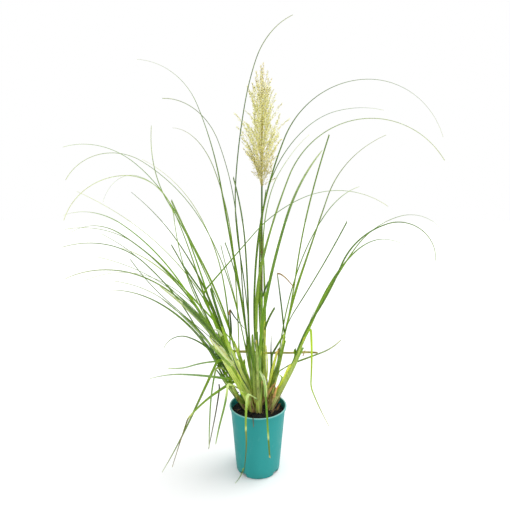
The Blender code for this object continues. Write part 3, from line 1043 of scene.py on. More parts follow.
@dataclass
class Compost:
    """The compost in the pot: a lumpy crust, loose crumbs on it, and pale fibres and bark."""

    pot: NurseryPot
    node: str = "potting_soil"
    crumbs: int = 950
    fibres: int = 90
    chips: int = 70
    seed: int = 7
    black: Colour = (0.016, 0.016, 0.014)
    brown: Colour = (0.08, 0.06, 0.04)
    tan: Colour = (0.62, 0.5, 0.33)
    slump: float = 0.003            # the edge lies this much lower than the middle
    low: float = field(init=False)
    level: float = field(init=False)

    def __post_init__(self) -> None:
        """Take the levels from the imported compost."""
        self.low = self.pot.recess + self.pot.floor + GAP
        self.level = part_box(self.node)[1].z
        self.rng = np.random.default_rng(self.seed)

    def bed(self) -> Piece:
        """The body of compost, with a crust that is roughened on top.

        Returns:
            The bed, painted.
        """
        edge = self.level - self.slump
        rings = [(0.01, self.low), (self.pot.inside(self.low) - GAP, self.low)]
        rings += [(self.pot.inside(z) - GAP, z) for z in (0.06, 0.12, edge)]
        reach = self.pot.inside(edge) - GAP
        rings += [(reach * (1 - k / 26), edge + self.slump * smooth(k / 5)) for k in range(1, 26)]
        bed = raise_rings(rings, 120)
        group = bed.vertex_groups.new(name="crust")
        top = [v.index for v in bed.data.vertices if v.co.z > edge + 0.0005]
        group.add(top, 1.0, "REPLACE")
        for size, depth in ((0.012, 0.003), (0.0035, 0.0022)):
            grain = bpy.data.textures.new("crust", "CLOUDS")
            grain.noise_scale = size
            grain.noise_depth = 2
            modify(bed, "DISPLACE", texture=grain, strength=depth, mid_level=0.55, direction="Z", vertex_group="crust")
        settle(bed, "compost_bed", 80)
        places = places_of(bed)
        mottle = 0.5 + 0.5 * np.sin(places[:, 0] * 310) * np.sin(places[:, 1] * 270)
        colours = shade(self.black) + mottle[:, None] * 0.25 * shade(self.brown)
        paint(bed, colours)
        return bed

    def lump(self, seed: int) -> Pattern:
        """One crumb: a small ball pulled out of shape.

        Args:
            seed: what sets its shape.

        Returns:
            The crumb.
        """
        bpy.ops.mesh.primitive_ico_sphere_add(subdivisions=2, radius=1.0)
        ball = bpy.context.active_object
        with Bench(ball) as bench:
            bench.everything()
            bpy.ops.transform.vertex_random(offset=0.42, uniform=0.3, normal=0.5, seed=seed)
            bpy.ops.transform.resize(value=(1, 0.8, 0.7))
        return Pattern.keep(ball)

    def splinter(self) -> Pattern:
        """One fibre: a thin stick with a bend in it, one long.

        Returns:
            The fibre.
        """
        bpy.ops.mesh.primitive_cylinder_add(vertices=5, radius=0.03, depth=1.0, rotation=(0, pi / 2, 0))
        stick = bpy.context.active_object
        bpy.ops.object.transform_apply(rotation=True)
        with Bench(stick) as bench:
            bench.faces(lambda middle, normal: normal.x > 0.9)
            bpy.ops.mesh.extrude_region_move(TRANSFORM_OT_translate={"value": (0.35, 0.12, 0.05)})
            bpy.ops.transform.resize(value=(0.5, 0.5, 0.5), center_override=(0.85, 0.12, 0.05))
        return Pattern.keep(stick)

    def scatter(self, count: int, pattern: Pattern, size: tuple[float, float], tints: np.ndarray,
                lift: float, gather: Gather, flat: bool = False) -> None:
        """Strew copies of a pattern over the compost.

        Args:
            count: how many there are.
            pattern: what is strewn.
            size: the smallest and largest scale.
            tints: a colour for each.
            lift: how far their middles stand above the level, in metres.
            gather: takes them in.
            flat: whether they lie nearly level.
        """
        reach = self.pot.inside(self.level) - 0.004
        spread = reach * np.sqrt(self.rng.random(count))
        round_ = 2 * pi * self.rng.random(count)
        edge = self.slump * smooth((spread / reach - 0.8) / 0.2)
        spots = np.stack((spread * np.cos(round_), spread * np.sin(round_), self.level + lift - edge), axis=-1)
        scales = size[0] + (size[1] - size[0]) * self.rng.random(count) ** 2.5
        tips = self.rng.uniform(-0.25, 0.25, (count, 2)) if flat else self.rng.uniform(-pi, pi, (count, 2))
        frames = np.empty((count, 3, 3))
        for k in range(count):
            turn = Matrix.Rotation(self.rng.uniform(0, 2 * pi), 3, "Z") @ Matrix.Rotation(tips[k, 0], 3, "X")
            frames[k] = np.array(turn @ Matrix.Rotation(tips[k, 1], 3, "Y")) * scales[k]
        gather.copies(pattern, frames, spots, tints)

    def colours(self, count: int, first: Colour, second: Colour) -> np.ndarray:
        """Random colours between two."""
        share = self.rng.random((count, 1)) ** 1.5
        return shade(first) * (1 - share) + shade(second) * share

    def build(self) -> None:
        """Make the bed and what lies on it, and dress them."""
        finish = CompostFinish().material()
        hand_in(self.bed(), finish, [self.node])
        crumbs = Gather()
        for k in range(3):
            share = self.crumbs // 3
            tints = self.colours(share, self.black, self.brown)
            self.scatter(share, self.lump(k), (0.0008, 0.0042), tints, -0.0006, crumbs)
        piece = crumbs.make("compost_crumbs")
        hand_in(piece, finish)
        fibres = Gather()
        tints = self.colours(self.fibres, self.brown, self.tan)
        self.scatter(self.fibres, self.splinter(), (0.004, 0.02), tints, 0.0008, fibres, flat=True)
        tints = self.colours(self.chips, self.brown, self.tan)
        self.scatter(self.chips, self.lump(9), (0.0006, 0.0019), tints, 0.0009, fibres)
        hand_in(fibres.make("compost_fibres"), finish)


# ================ leaves


class Tip(Enum):
    """How a leaf ends."""

    FINE = "fine"
    CUT = "cut"


@dataclass(frozen=True)
class Leaf:
    """One leaf: a sheath that clasps its tiller, then a blade.

    The blade leaves its tiller at a height along it and grows towards azimuth. leans are its
    angles from upright at even steps from foot to tip, in degrees; steps, where it folds
    sharply, gives the shares of the length at which those angles hold. A leaf with number 0
    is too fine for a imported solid. roll is how far the blade turns on its own length, in
    degrees, taper how fast it narrows, late how much of its width it lacks near its foot,
    clasp how far its sheath reaches round, and stand how far that sheath stands off, in metres.
    """

    number: int
    azimuth: float
    height: float
    length: float
    width: float
    leans: tuple[float, ...]
    steps: tuple[float, ...] | None = None
    tip: Tip = Tip.FINE
    tint: Tint = Tint.GREEN
    roll: float | None = None
    taper: float = 0.95
    late: float = 0.28
    skin: Skin | None = None
    clasp: float = 1.0
    stand: float = 0.0


@dataclass(frozen=True)
class Tiller:
    """One shoot: where it stands, how it leans, how thick it is, and its leaves.

    skin colours its sheaths, and wraps are the loose outer sheaths, whose blades are gone.
    """

    name: str
    x: float
    y: float
    lean: float
    azimuth: float
    length: float
    foot_radius: float
    top_radius: float
    leaves: tuple[Leaf, ...]
    skin: Skin = Skin.LIGHT
    wraps: tuple[Leaf, ...] = ()

    def radius(self, along: np.ndarray | float) -> np.ndarray | float:
        """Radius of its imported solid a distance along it."""
        return self.foot_radius + (self.top_radius - self.foot_radius) * along / self.length

    def axis(self) -> np.ndarray:
        """The direction that it grows in."""
        return heading(self.lean, self.azimuth)


def wrap(azimuth: float, height: float, flap: float, lean: float, width: float, skin: Skin, tint: Tint,
         stand: float = 0.002, clasp: float = 0.7) -> Leaf:
    """A loose outer sheath that ends in a short flap.

    Args:
        azimuth: which side of its tiller it lies on, in degrees.
        height: how far up it reaches.
        flap: the length of what is left of its blade.
        lean: how far the flap's end leans from upright, in degrees.
        width: the flap's width.
        skin: the sheath's colours.
        tint: the flap's colours.
        stand: how far it stands off the tiller.
        clasp: how far it reaches round, as a share of a whole sheath.

    Returns:
        The sheath as a leaf of its own.
    """
    leans = (0.45 * lean, 0.7 * lean, lean)
    return Leaf(0, azimuth, height, flap, width, leans, None, Tip.CUT, tint, 0, late=0.1, skin=skin, clasp=clasp,
                stand=stand)


CUT = Tip.CUT
TILLERS = (
    Tiller("outer_left", -0.036, 0.004, 36, 176, 0.15, 0.0075, 0.005, (
        Leaf(1, 192, 0.15, 0.64, 0.0072, (5, 34, 47, 101), roll=-70, taper=2.17),
        Leaf(2, 208, 0.13, 0.62, 0.0024, (25, 29, 45, 107), tint=Tint.DARK, roll=70, taper=0.41),
        Leaf(3, 195, 0.1, 0.59, 0.0058, (8, 29, 64, 116), tint=Tint.GREY, taper=2.11),
        Leaf(4, 166, 0.06, 0.555, 0.0114, (31, 41, 66, 96), taper=1.12),
        Leaf(0, 150, 0.08, 0.64, 0.0053, (17, 39, 60, 81), tint=Tint.YELLOWISH, roll=-50, taper=0.58),
        Leaf(0, 168, 0.15, 0.57, 0.0024, (-3, 49, 48, 66), tint=Tint.DARK, roll=-70, taper=1.3),
        Leaf(0, 214, 0.02, 0.465, 0.009, (14, 28, 41, 50), tint=Tint.YELLOWISH, roll=70, taper=0.39),
        Leaf(0, 160, 0.14, 0.295, 0.0046, (16, 39, 58, 56), tip=CUT, tint=Tint.DARK, roll=-70, taper=1.08),
        Leaf(0, 185, 0.12, 0.255, 0.0066, (10, 42, 70, 159), tint=Tint.DARK, roll=-70, taper=1.06),
        Leaf(0, 235, 0.079, 0.345, 0.0039, (4, 76, 159, 174, 179), (0, 0.33, 0.36, 0.66, 1),
             tint=Tint.GREEN_FOLD, taper=0.28, roll=-50),
    ), Skin.GREEN, (
        wrap(250, 0.07, 0.02, 60, 0.007, Skin.LIGHT, Tint.CREAM),
        wrap(200, 0.045, 0.025, 70, 0.006, Skin.OLIVE, Tint.STRAW),
    )),
    Tiller("upper_left", -0.017, -0.009, 20, 205, 0.2, 0.0085, 0.0055, (
        Leaf(1, 220, 0.2, 0.405, 0.0026, (43, 47, 45, 33), tip=CUT, tint=Tint.DARK, taper=0.6),
        Leaf(2, 205, 0.19, 0.365, 0.0046, (31, 25, 22, 30), tip=CUT, tint=Tint.DARK, roll=70),
        Leaf(3, 228, 0.17, 0.525, 0.0024, (29, 41, 54, 73), taper=1.9),
        Leaf(4, 240, 0.14, 0.535, 0.0096, (46, 45, 49, 75), tint=Tint.GREY, roll=70, taper=2.35),
        Leaf(5, 215, 0.11, 0.275, 0.0066, (64, 70, 74, 92), tint=Tint.GREY, roll=-70, taper=0.78),
        Leaf(6, 192, 0.135, 0.42, 0.0125, (58, 30, 154, 154, 148), (0, 0.12, 0.17, 0.6, 1), tint=Tint.OLIVE),
        Leaf(7, 200, 0.085, 0.335, 0.0081, (45, 15, 108, 135, 160, 162), (0, 0.05, 0.1, 0.55, 0.6, 1),
             tint=Tint.KINKED, roll=-70, taper=1.19),
        Leaf(8, 358, 0.2, 0.82, 0.0081, (-24, -25, 41, 41, 66, 125), (0, 0.2, 0.25, 0.5, 0.7, 1), taper=2.07),
        Leaf(0, 222, 0.2, 0.23, 0.0099, (33, 40, 43, 42), tip=CUT, tint=Tint.DARK, taper=0.05),
        Leaf(0, 180, 0.2, 0.195, 0.0076, (17, 18, 17, 13), tip=CUT, tint=Tint.DARK, roll=-70, taper=0.05),
        Leaf(0, 225, 0.076, 0.232, 0.006, (47, 60, 173, 158, 166), (0, 0.28, 0.31, 0.64, 1),
             tint=Tint.PALE_FOLD, taper=0.4, roll=-50),
    ), Skin.CREAM, (
        wrap(250, 0.15, 0.034, 40, 0.01, Skin.CREAM, Tint.CREAM, 0.003, 0.8),
        wrap(205, 0.115, 0.03, 46, 0.009, Skin.CREAM, Tint.YELLOWISH, 0.004, 0.8),
        wrap(290, 0.13, 0.016, 20, 0.008, Skin.YELLOW, Tint.YELLOW, 0.002),
        wrap(225, 0.07, 0.022, 60, 0.007, Skin.YELLOW, Tint.CREAM, 0.005),
        wrap(275, 0.06, 0.012, 30, 0.006, Skin.LIGHT, Tint.STRAW, 0.003),
    )),
    Tiller("left", -0.024, 0.024, 23, 184, 0.25, 0.0095, 0.006, (
        Leaf(1, 165, 0.25, 0.855, 0.0057, (17, 21, 51, 101), roll=-70, taper=2.4),
        Leaf(2, 208, 0.24, 0.755, 0.0026, (32, 20, 5, 96, 162), tint=Tint.YELLOWISH, roll=70, taper=2.4),
        Leaf(3, 150, 0.22, 0.84, 0.0063, (27, 21, 28, 77, 154), tint=Tint.GREY, roll=-70, taper=2.4),
        Leaf(4, 185, 0.12, 0.545, 0.006, (5, 19, 27, 23), tip=CUT, tint=Tint.OLIVE, roll=-70, taper=0.05),
        Leaf(5, 210, 0.2, 0.61, 0.0059, (17, 33, 48, 65), tint=Tint.YELLOWISH, taper=2.35),
        Leaf(6, 158, 0.19, 0.8, 0.0037, (34, 41, 62, 105), tint=Tint.BRIGHT, taper=0.49),
        Leaf(7, 196, 0.18, 0.55, 0.0125, (16, 22, 33, 50), tip=CUT, tint=Tint.DARK, taper=4.57),
        Leaf(0, 172, 0.17, 0.675, 0.0066, (0, 10, 31, 64), tint=Tint.YELLOWISH, taper=1.51),
        Leaf(0, 235, 0.23, 0.28, 0.0046, (15, 30, 41, 40), tip=CUT, tint=Tint.DARK, roll=50, taper=0.05),
    ), Skin.CREAM, (
        wrap(265, 0.165, 0.024, 26, 0.01, Skin.CREAM, Tint.YELLOWISH, 0.002, 0.8),
        wrap(220, 0.205, 0.03, 34, 0.01, Skin.CREAM, Tint.CREAM, 0.003, 0.8),
        wrap(310, 0.11, 0.016, 14, 0.008, Skin.YELLOW, Tint.YELLOW, 0.003),
        wrap(235, 0.12, 0.02, 50, 0.008, Skin.YELLOW, Tint.CREAM, 0.005),
        wrap(280, 0.06, 0.012, 35, 0.007, Skin.LIGHT, Tint.STRAW, 0.003),
        wrap(200, 0.232, 0.018, 95, 0.011, Skin.LIGHT, Tint.CREAM, 0.003, 0.6),
    )),
    Tiller("rear_left", -0.01, 0.046, 22, 150, 0.2, 0.008, 0.0055, (
        Leaf(1, 160, 0.2, 0.805, 0.0056, (47, 48, 63, 126), taper=0.69),
        Leaf(2, 135, 0.17, 0.88, 0.0029, (2, 7, 30, 80), tint=Tint.OLIVE, roll=-50),
        Leaf(3, 145, 0.15, 0.87, 0.0024, (25, 32, 40, -9), tint=Tint.BRIGHT, taper=0.27),
        Leaf(4, 158, 0.13, 0.82, 0.0046, (43, 55, 87, 113), tint=Tint.GREY, roll=-70, taper=0.44),
        Leaf(0, 165, 0.13, 0.255, 0.0044, (89, 100, 112, 89), tint=Tint.GREY, taper=0.15),
    ), Skin.LIGHT, (
        wrap(270, 0.12, 0.02, 24, 0.007, Skin.LIGHT, Tint.YELLOWISH),
    )),
    Tiller("centre_left", -0.005, 0.012, 7, 190, 0.24, 0.008, 0.0055, (
        Leaf(1, 180, 0.19, 0.315, 0.0024, (14, 11, 16, 12), tip=CUT, taper=0.05),
        Leaf(2, 350, 0.23, 0.937, 0.0026, (-3, -10, 4.5, 11, 20, 45, 70), (0, 0.25, 0.5, 0.72, 0.84, 0.93, 1),
             tint=Tint.DARK, roll=-70, taper=0.59),
        Leaf(3, 170, 0.21, 0.94, 0.0125, (8, 10, 10, 23, 83), taper=1.78),
        Leaf(4, 225, 0.2, 0.78, 0.0036, (10, 4, 9, 27, 104), tint=Tint.DARK, taper=2.18),
        Leaf(5, 235, 0.17, 0.36, 0.003, (10, 15, 19, 31), tip=CUT, tint=Tint.DARK, roll=50, taper=0.05),
        Leaf(6, 192, 0.14, 0.895, 0.0055, (9, 15, 30, 58, 152), taper=2.4),
    ), Skin.LIGHT, (
        wrap(255, 0.15, 0.026, 16, 0.008, Skin.GREEN, Tint.BRIGHT),
        wrap(200, 0.1, 0.02, 40, 0.008, Skin.LIGHT, Tint.CREAM, 0.004),
        wrap(300, 0.08, 0.014, 10, 0.006, Skin.YELLOW, Tint.YELLOW, 0.003),
        wrap(230, 0.04, 0.014, 50, 0.006, Skin.DEAD, Tint.STRAW, 0.003),
    )),
    Tiller("centre", 0.002, -0.016, 2, 240, 0.25, 0.0085, 0.0055, (
        Leaf(1, 322, 0.24, 0.915, 0.0125, (-4, 17, 25, 89, 150), tint=Tint.GREY, taper=2.7),
        Leaf(2, 5, 0.21, 1.185, 0.0125, (-4, 7, 22, 87, 160), tint=Tint.DARK, taper=2.04),
        Leaf(3, 296, 0.18, 0.625, 0.0083, (5, 22, 30, 60), taper=0.51),
        Leaf(4, 250, 0.12, 0.585, 0.0069, (39, 2, 10, 38), tip=CUT, tint=Tint.DARK, taper=1.12),
        Leaf(5, 250, 0.042, 0.305, 0.008, (50, 60, 164, 188, 150), (0, 0.28, 0.34, 0.66, 1),
             tint=Tint.BLEACHED_FOLD),
        Leaf(6, 285, 0.135, 0.255, 0.0062, (84, 112, 161, 168, 164), (0, 0.2, 0.28, 0.62, 1), CUT,
             Tint.SILVER_FOLD),
    ), Skin.OLIVE, (
        wrap(280, 0.2, 0.04, 6, 0.008, Skin.GREEN, Tint.OLIVE, 0.001),
        wrap(335, 0.17, 0.018, 8, 0.006, Skin.LIGHT, Tint.YELLOW, 0.001, 0.4),
        wrap(215, 0.14, 0.022, 10, 0.007, Skin.LIGHT, Tint.BRIGHT, 0.002, 0.5),
        wrap(310, 0.09, 0.012, 12, 0.006, Skin.OLIVE, Tint.STRAW, 0.003, 0.6),
        wrap(245, 0.06, 0.01, 10, 0.005, Skin.YELLOW, Tint.CREAM, 0.003, 0.4),
    )),
    Tiller("rear", 0.014, 0.052, 12, 80, 0.22, 0.008, 0.0055, (
        Leaf(1, 40, 0.2, 1.22, 0.0052, (-7, 1, 41, 72, 88), tint=Tint.DARK, roll=70, taper=2.4),
        Leaf(2, 60, 0.16, 0.89, 0.009, (4, -6, 50, 64), tint=Tint.GREY, taper=2.31),
        Leaf(0, 100, 0.15, 0.545, 0.0125, (30, 7, -16, -40), tip=CUT, tint=Tint.DARK, taper=3.81),
        Leaf(0, 350, 0.12, 0.185, 0.0062, (-6, 6, 19, 32), tip=CUT, tint=Tint.DARK, roll=-70, taper=0.05),
    ), Skin.GREEN),
    Tiller("inner_right", 0.03, 0.03, 15, 8, 0.21, 0.008, 0.005, (
        Leaf(1, 35, 0.205, 0.66, 0.0043, (15, 10, 18, 23), tip=CUT, roll=50, taper=0.05),
        Leaf(2, 350, 0.19, 0.7, 0.0125, (10, 18, 18, 68), tint=Tint.OLIVE, taper=1.63),
        Leaf(3, 318, 0.17, 0.455, 0.0037, (8, 34, 32, 29), tip=CUT, tint=Tint.DARK, late=0.6, taper=0.05),
        Leaf(4, 42, 0.16, 0.71, 0.0026, (9, 25, 46, 78), taper=0.57),
        Leaf(5, 350, 0.11, 0.215, 0.0042, (49, 66, 65, 40), tint=Tint.GREY, late=0.5, roll=70, taper=0.28),
    ), Skin.YELLOW, (
        wrap(270, 0.16, 0.022, 10, 0.008, Skin.YELLOW, Tint.RUSSET, 0.001, 0.8),
        wrap(215, 0.125, 0.03, -4, 0.008, Skin.GREEN, Tint.BRIGHT, 0.003, 0.6),
        wrap(190, 0.09, 0.05, -14, 0.008, Skin.LIGHT, Tint.GREEN, 0.006, 0.6),
        wrap(315, 0.12, 0.02, 26, 0.007, Skin.YELLOW, Tint.YELLOW, 0.003, 0.6),
        wrap(250, 0.045, 0.014, 20, 0.006, Skin.DEAD, Tint.STRAW, 0.003, 0.6),
    )),
    Tiller("right", 0.037, 0.004, 26, 352, 0.22, 0.0095, 0.006, (
        Leaf(1, 8, 0.2, 0.68, 0.0118, (21, 30, 35, 74, 145), tint=Tint.OLIVE, taper=2.4),
        Leaf(2, 325, 0.17, 0.655, 0.0066, (17, 32, 22, 71, 182), tint=Tint.DARK, taper=0.86),
        Leaf(3, 38, 0.15, 0.835, 0.011, (33, 35, 59, 97, 115), taper=1.87),
        Leaf(4, 348, 0.205, 0.375, 0.0072, (22, 26, 176, 180, 182, 158, 150), (0, 0.18, 0.21, 0.45, 0.62, 0.7, 1),
             tint=Tint.LIME, roll=70),
        Leaf(0, 20, 0.22, 0.125, 0.0067, (21, 20, 23, 28), tip=CUT, tint=Tint.DARK, taper=6),
    ), Skin.LIGHT, (
        wrap(262, 0.185, 0.026, 28, 0.009, Skin.LIGHT, Tint.BRIGHT, 0.001, 0.8),
        wrap(225, 0.105, 0.022, 58, 0.009, Skin.YELLOW, Tint.YELLOW, 0.004, 0.8),
        wrap(300, 0.14, 0.014, 60, 0.008, Skin.CREAM, Tint.CREAM, 0.002, 0.6),
        wrap(245, 0.06, 0.018, 20, 0.007, Skin.DEAD, Tint.STRAW, 0.003, 0.7),
        wrap(205, 0.04, 0.02, 16, 0.006, Skin.DEAD, Tint.RUSSET, 0.004, 0.6),
    )),
)
ROLLS = (44, -36, 52, -28, 38, -48)     # how far blades turn on their own length, degrees
ROLL_BY = 0.25              # that turn is complete by this share of the length


@dataclass(frozen=True)
class LeafLine:
    """The line that a leaf follows, from the compost to its tip.

    along is the distance from where the blade leaves its sheath, negative down the sheath.
    """

    along: np.ndarray
    middle: np.ndarray
    side: np.ndarray
    face: np.ndarray
    radius: np.ndarray
    length: float
    height: float

    def rows(self) -> np.ndarray:
        """How far along each even row of a pattern comes, closer together round bends.

        Returns:
            A rising value for each point of the line.
        """
        ahead = np.cross(self.side, self.face)
        turns = np.linalg.norm(np.diff(ahead, axis=0, prepend=ahead[:1]), axis=1)
        run = (self.along - self.along[0]) / (self.along[-1] - self.along[0])
        turned = np.cumsum(turns) / max(turns.sum(), 0.6)
        return run + 0.8 * turned + 0.12 * onto_blade(self.along)

    def at(self, values: np.ndarray, places: np.ndarray) -> np.ndarray:
        """Values of this line at places along it, whether it has one or three for each point."""
        return np.interp(places, self.along, values) if values.ndim == 1 else between(places, self.along, values)


@dataclass
class LeafMaker:
    """Makes leaves: a pattern strip is modelled, then copied and arched along each leaf's line."""

    level: float
    thick: float = 0.00042
    fine_thick: float = 0.00022         # at the tip
    least_width: float = 0.0015         # what a fine tip is drawn out to
    room: tuple[float, float] = (0.225, 0.0012)     # for a blade's foot: share of its width, and metres
    opening: float = 0.022              # a sheath opens into its blade over this length
    cut_share: float = 0.66             # a cut leaf lacks its colours past this share of them
    cut_width: float = 0.25             # what is left of a cut leaf's width at its end, before taper
    grip: tuple[float, float] = (0.8, 0.95)        # radians a sheath reaches round: at its top, and more at its foot
    cup: tuple[float, float] = (0.55, 0.25)         # how steep a blade's halves are: at its foot, and less at its tip
    bit_cup: float = 0.16               # how steep they are on a loose bit
    pale_edge: Colour = (0.93, 0.92, 0.66)          # the margins of sheaths
    step: float = 0.002
    seed: int = 11

    def __post_init__(self) -> None:
        """Model the patterns and set the dice."""
        self.rng = np.random.default_rng(self.seed)
        self.long_strip = self.strip("long_leaf_pattern", 84)
        self.short_strip = self.strip("short_leaf_pattern", 34)

    def strip(self, name: str, rows: int) -> Piece:
        """A pattern: flat, one long, two wide and one thick, with a midrib under it.

        Args:
            name: what the pattern is called.
            rows: how many rows of faces it has from end to end.

        Returns:
            The strip, closed all round, with its UV map across and along.
        """
        bpy.ops.mesh.primitive_grid_add(x_subdivisions=6, y_subdivisions=rows, size=2)
        strip = bpy.context.active_object
        with Bench(strip) as bench:
            bench.everything()
            bpy.ops.transform.resize(value=(1, 0.5, 1))
            bpy.ops.transform.translate(value=(0, 0.5, 0))
            for place, ratio in ((1 / 3, 0.36), (2 / 3, 0.88)):
                bench.points(lambda co, place=place: abs(abs(co.x) - place) < 0.05)
                bpy.ops.transform.resize(value=(ratio, 1, 1), center_override=(0, 0, 0))
        modify(strip, "SOLIDIFY", thickness=1.0, offset=-1.0)
        with Bench(strip) as bench:
            bench.faces(lambda middle, normal: normal.z < -0.9 and abs(middle.x) < 0.12)
            bpy.ops.mesh.extrude_region_move(TRANSFORM_OT_translate={"value": (0, 0, -1.3)})
            bpy.ops.transform.resize(value=(0.45, 1, 1), center_override=(0, 0.5, 0))
        strip.name = name
        return strip

    def line(self, tiller: Tiller, leaf: Leaf, roll: float, layer: float) -> LeafLine:
        """Work out where a leaf runs.

        Args:
            tiller: the shoot that it grows on.
            leaf: the leaf.
            roll: how far it turns on its own length, in degrees.
            layer: how far out its sheath lies, as a share of the tiller's radius.

        Returns:
            Its line, with which way its side and its inner face point.
        """
        foot, axis = np.array((tiller.x, tiller.y, self.level)), tiller.axis()
        out = heading(leaf.leans[0], leaf.azimuth)
        away = unit(out - out.dot(axis) * axis)
        across = np.cross(UP, heading(90.0, leaf.azimuth))
        share, clear = self.room
        reach = abs(across.dot(away)) * share * leaf.width + clear + GAP + leaf.stand
        start = foot + axis * leaf.height + away * (tiller.radius(leaf.height) + reach)

        count = max(24, round(leaf.length / self.step))
        middles = (np.arange(count) + 0.5) / count
        steps = leaf.steps or np.linspace(0, 1, len(leaf.leans))
        runs = heading(np.interp(middles, steps, leaf.leans), leaf.azimuth) * leaf.length / count
        blade = start + np.concatenate((np.zeros((1, 3)), np.cumsum(runs, axis=0)))
        blade_along = np.linspace(0, leaf.length, count + 1)

        up = np.arange(-SUNK, leaf.height - self.step / 2, self.step)
        stand = leaf.stand * smooth(up / max(leaf.height, 0.01))
        sheath_radius = tiller.radius(np.maximum(up, 0)) * layer
        lift = smooth((up - leaf.height + self.opening) / self.opening)
        outwards = sheath_radius + stand
        outwards = outwards + lift * (tiller.radius(leaf.height) + reach - outwards)
        sheath = foot + axis * up[:, None] + away * outwards[:, None]

        along = np.concatenate((up - leaf.height, blade_along))
        middle = np.concatenate((sheath, blade))
        radius = np.concatenate((sheath_radius, np.full(count + 1, tiller.radius(leaf.height) * layer)))
        ahead = unit(np.gradient(middle, along, axis=0))
        for _ in range(3):
            ahead[1:-1] = unit(ahead[:-2] + 2 * ahead[1:-1] + ahead[2:])

        girdle = np.cross(axis, away)
        across = across * (1 if girdle.dot(across) >= 0 else -1)
        share = np.clip(along / leaf.length, 0, 1)
        onto = onto_blade(along)[:, None]
        side = girdle * (1 - onto) + across * onto
        side = unit(side - (side * ahead).sum(axis=1)[:, None] * ahead)
        twist = radians(self.rng.uniform(-25, 25)) * share ** 1.6
        turn = (np.radians(roll) * np.minimum(share / ROLL_BY, 1) + twist)[:, None]
        side = side * np.cos(turn) + np.cross(ahead, side) * np.sin(turn)
        return LeafLine(along, middle, side, np.cross(ahead, side), radius, leaf.length, leaf.height + SUNK)

    def line_through(self, points: Sequence[Sequence[float]]) -> LeafLine:
        """A line for a loose bit of leaf, with its flat side to the front.

        Args:
            points: what the line runs through.

        Returns:
            The line, eased at its points.
        """
        count = 40
        bent = between(np.linspace(0, len(points) - 1, count), range(len(points)), np.array(points))
        for _ in range(12):
            bent[1:-1] = (bent[:-2] + 2 * bent[1:-1] + bent[2:]) / 4
        along = np.concatenate(((0,), np.cumsum(np.linalg.norm(np.diff(bent, axis=0), axis=1))))
        ahead = unit(np.gradient(bent, along, axis=0))
        side = unit(np.cross(ahead, (0.45, -0.75, 0.5)))
        return LeafLine(along, bent, side, np.cross(ahead, side), np.full(count, 0.005), along[-1], 0.01)

    def width(self, leaf: Leaf, share: np.ndarray) -> np.ndarray:
        """Width of a blade.

        Args:
            leaf: the leaf.
            share: shares of its length.

        Returns:
            A width for each share, in metres.
        """
        foot = 1 - leaf.late * (1 - smooth(share / (0.08 if leaf.late < 0.4 else 0.45)))
        if leaf.tip is Tip.CUT:
            return leaf.width * foot * (1 - (1 - self.cut_width) * share) ** (leaf.taper / 3)
        return leaf.width * foot * np.maximum(1 - share, 0) ** leaf.taper + self.least_width

    def arch(self, leaf: Leaf, line: LeafLine, name: str, skin: Skin = Skin.LIGHT) -> Piece:
        """Copy a pattern and arch it along a leaf's line.

        Args:
            leaf: the leaf.
            line: where it runs.
            name: what the piece is called.
            skin: the colours of its sheath, where it has none of its own.

        Returns:
            The leaf as a piece of its own, painted.
        """
        take(self.long_strip if leaf.length > 0.1 else self.short_strip)
        bpy.ops.object.duplicate()
        obj = bpy.context.active_object
        x, y, z = places_of(obj).T
        rows = line.rows()
        share_of_rows = (rows - rows[0]) / (rows[-1] - rows[0])
        along = np.interp(y, share_of_rows, line.along)
        share = along / line.length
        half = self.width(leaf, np.clip(share, 0, 1)) / 2
        if leaf.tip is Tip.CUT:
            along = along + 0.9 * half * x * smooth((share - 0.96) / 0.04)
            along = np.minimum(along, line.length + 0.003)
        thick = self.thick + (self.fine_thick - self.thick) * np.clip(share, 0, 1)

        radius = line.at(line.radius, along)
        down = np.clip(-along / line.height, 0, 1)
        turn = x * leaf.clasp * (self.grip[0] + self.grip[1] * down ** 0.8)
        bulge = radius - z * thick
        round_x, round_z = bulge * np.sin(turn), radius - bulge * np.cos(turn)
        fold = self.cup[0] - self.cup[1] * np.clip(share, 0, 1) if leaf.clasp else self.bit_cup
        open_x, open_z = x * half, fold * np.abs(x) * half + z * thick
        opened = smooth(along / self.opening) if leaf.clasp else np.ones_like(along)
        wide = round_x * (1 - opened) + open_x * opened
        deep = round_z * (1 - opened) + open_z * opened

        middle = line.at(line.middle, np.minimum(along, line.length))
        side, face = unit(line.at(line.side, along)), unit(line.at(line.face, along))
        ahead = np.cross(side, face)
        over = np.maximum(along - line.length, 0)[:, None]
        places = middle + side * wide[:, None] + face * deep[:, None] + ahead * over
        obj.data.vertices.foreach_set("co", places.astype(np.float32).ravel())
        obj.data.update()
        settle(obj, name, 60)

        snapped = leaf.tip is Tip.CUT and leaf.clasp and not leaf.steps
        blade = leaf.tint.at(np.clip(share, 0, 1) * (self.cut_share if snapped else 1.0))
        sheath = (leaf.skin or skin).at(1 - down) * self.rng.uniform(0.8, 1.12)
        margin = smooth((np.abs(x) - 0.5) / 0.5) * self.rng.uniform(0.1, 0.9)
        sheath = sheath + (shade(self.pale_edge) - sheath) * margin[:, None]
        leaving = smooth((along + 0.025) / 0.04)[:, None] if leaf.clasp else 1.0
        tone = self.rng.normal(1.0, 0.09) * (1 + self.rng.normal(0, 0.03, 3))
        paint(obj, np.clip((sheath * (1 - leaving) + blade * leaving) * tone, 0, 1))
        return obj

    def clear(self) -> None:
        """Put the patterns away."""
        for pattern in (self.long_strip, self.short_strip):
            bpy.data.objects.remove(pattern)


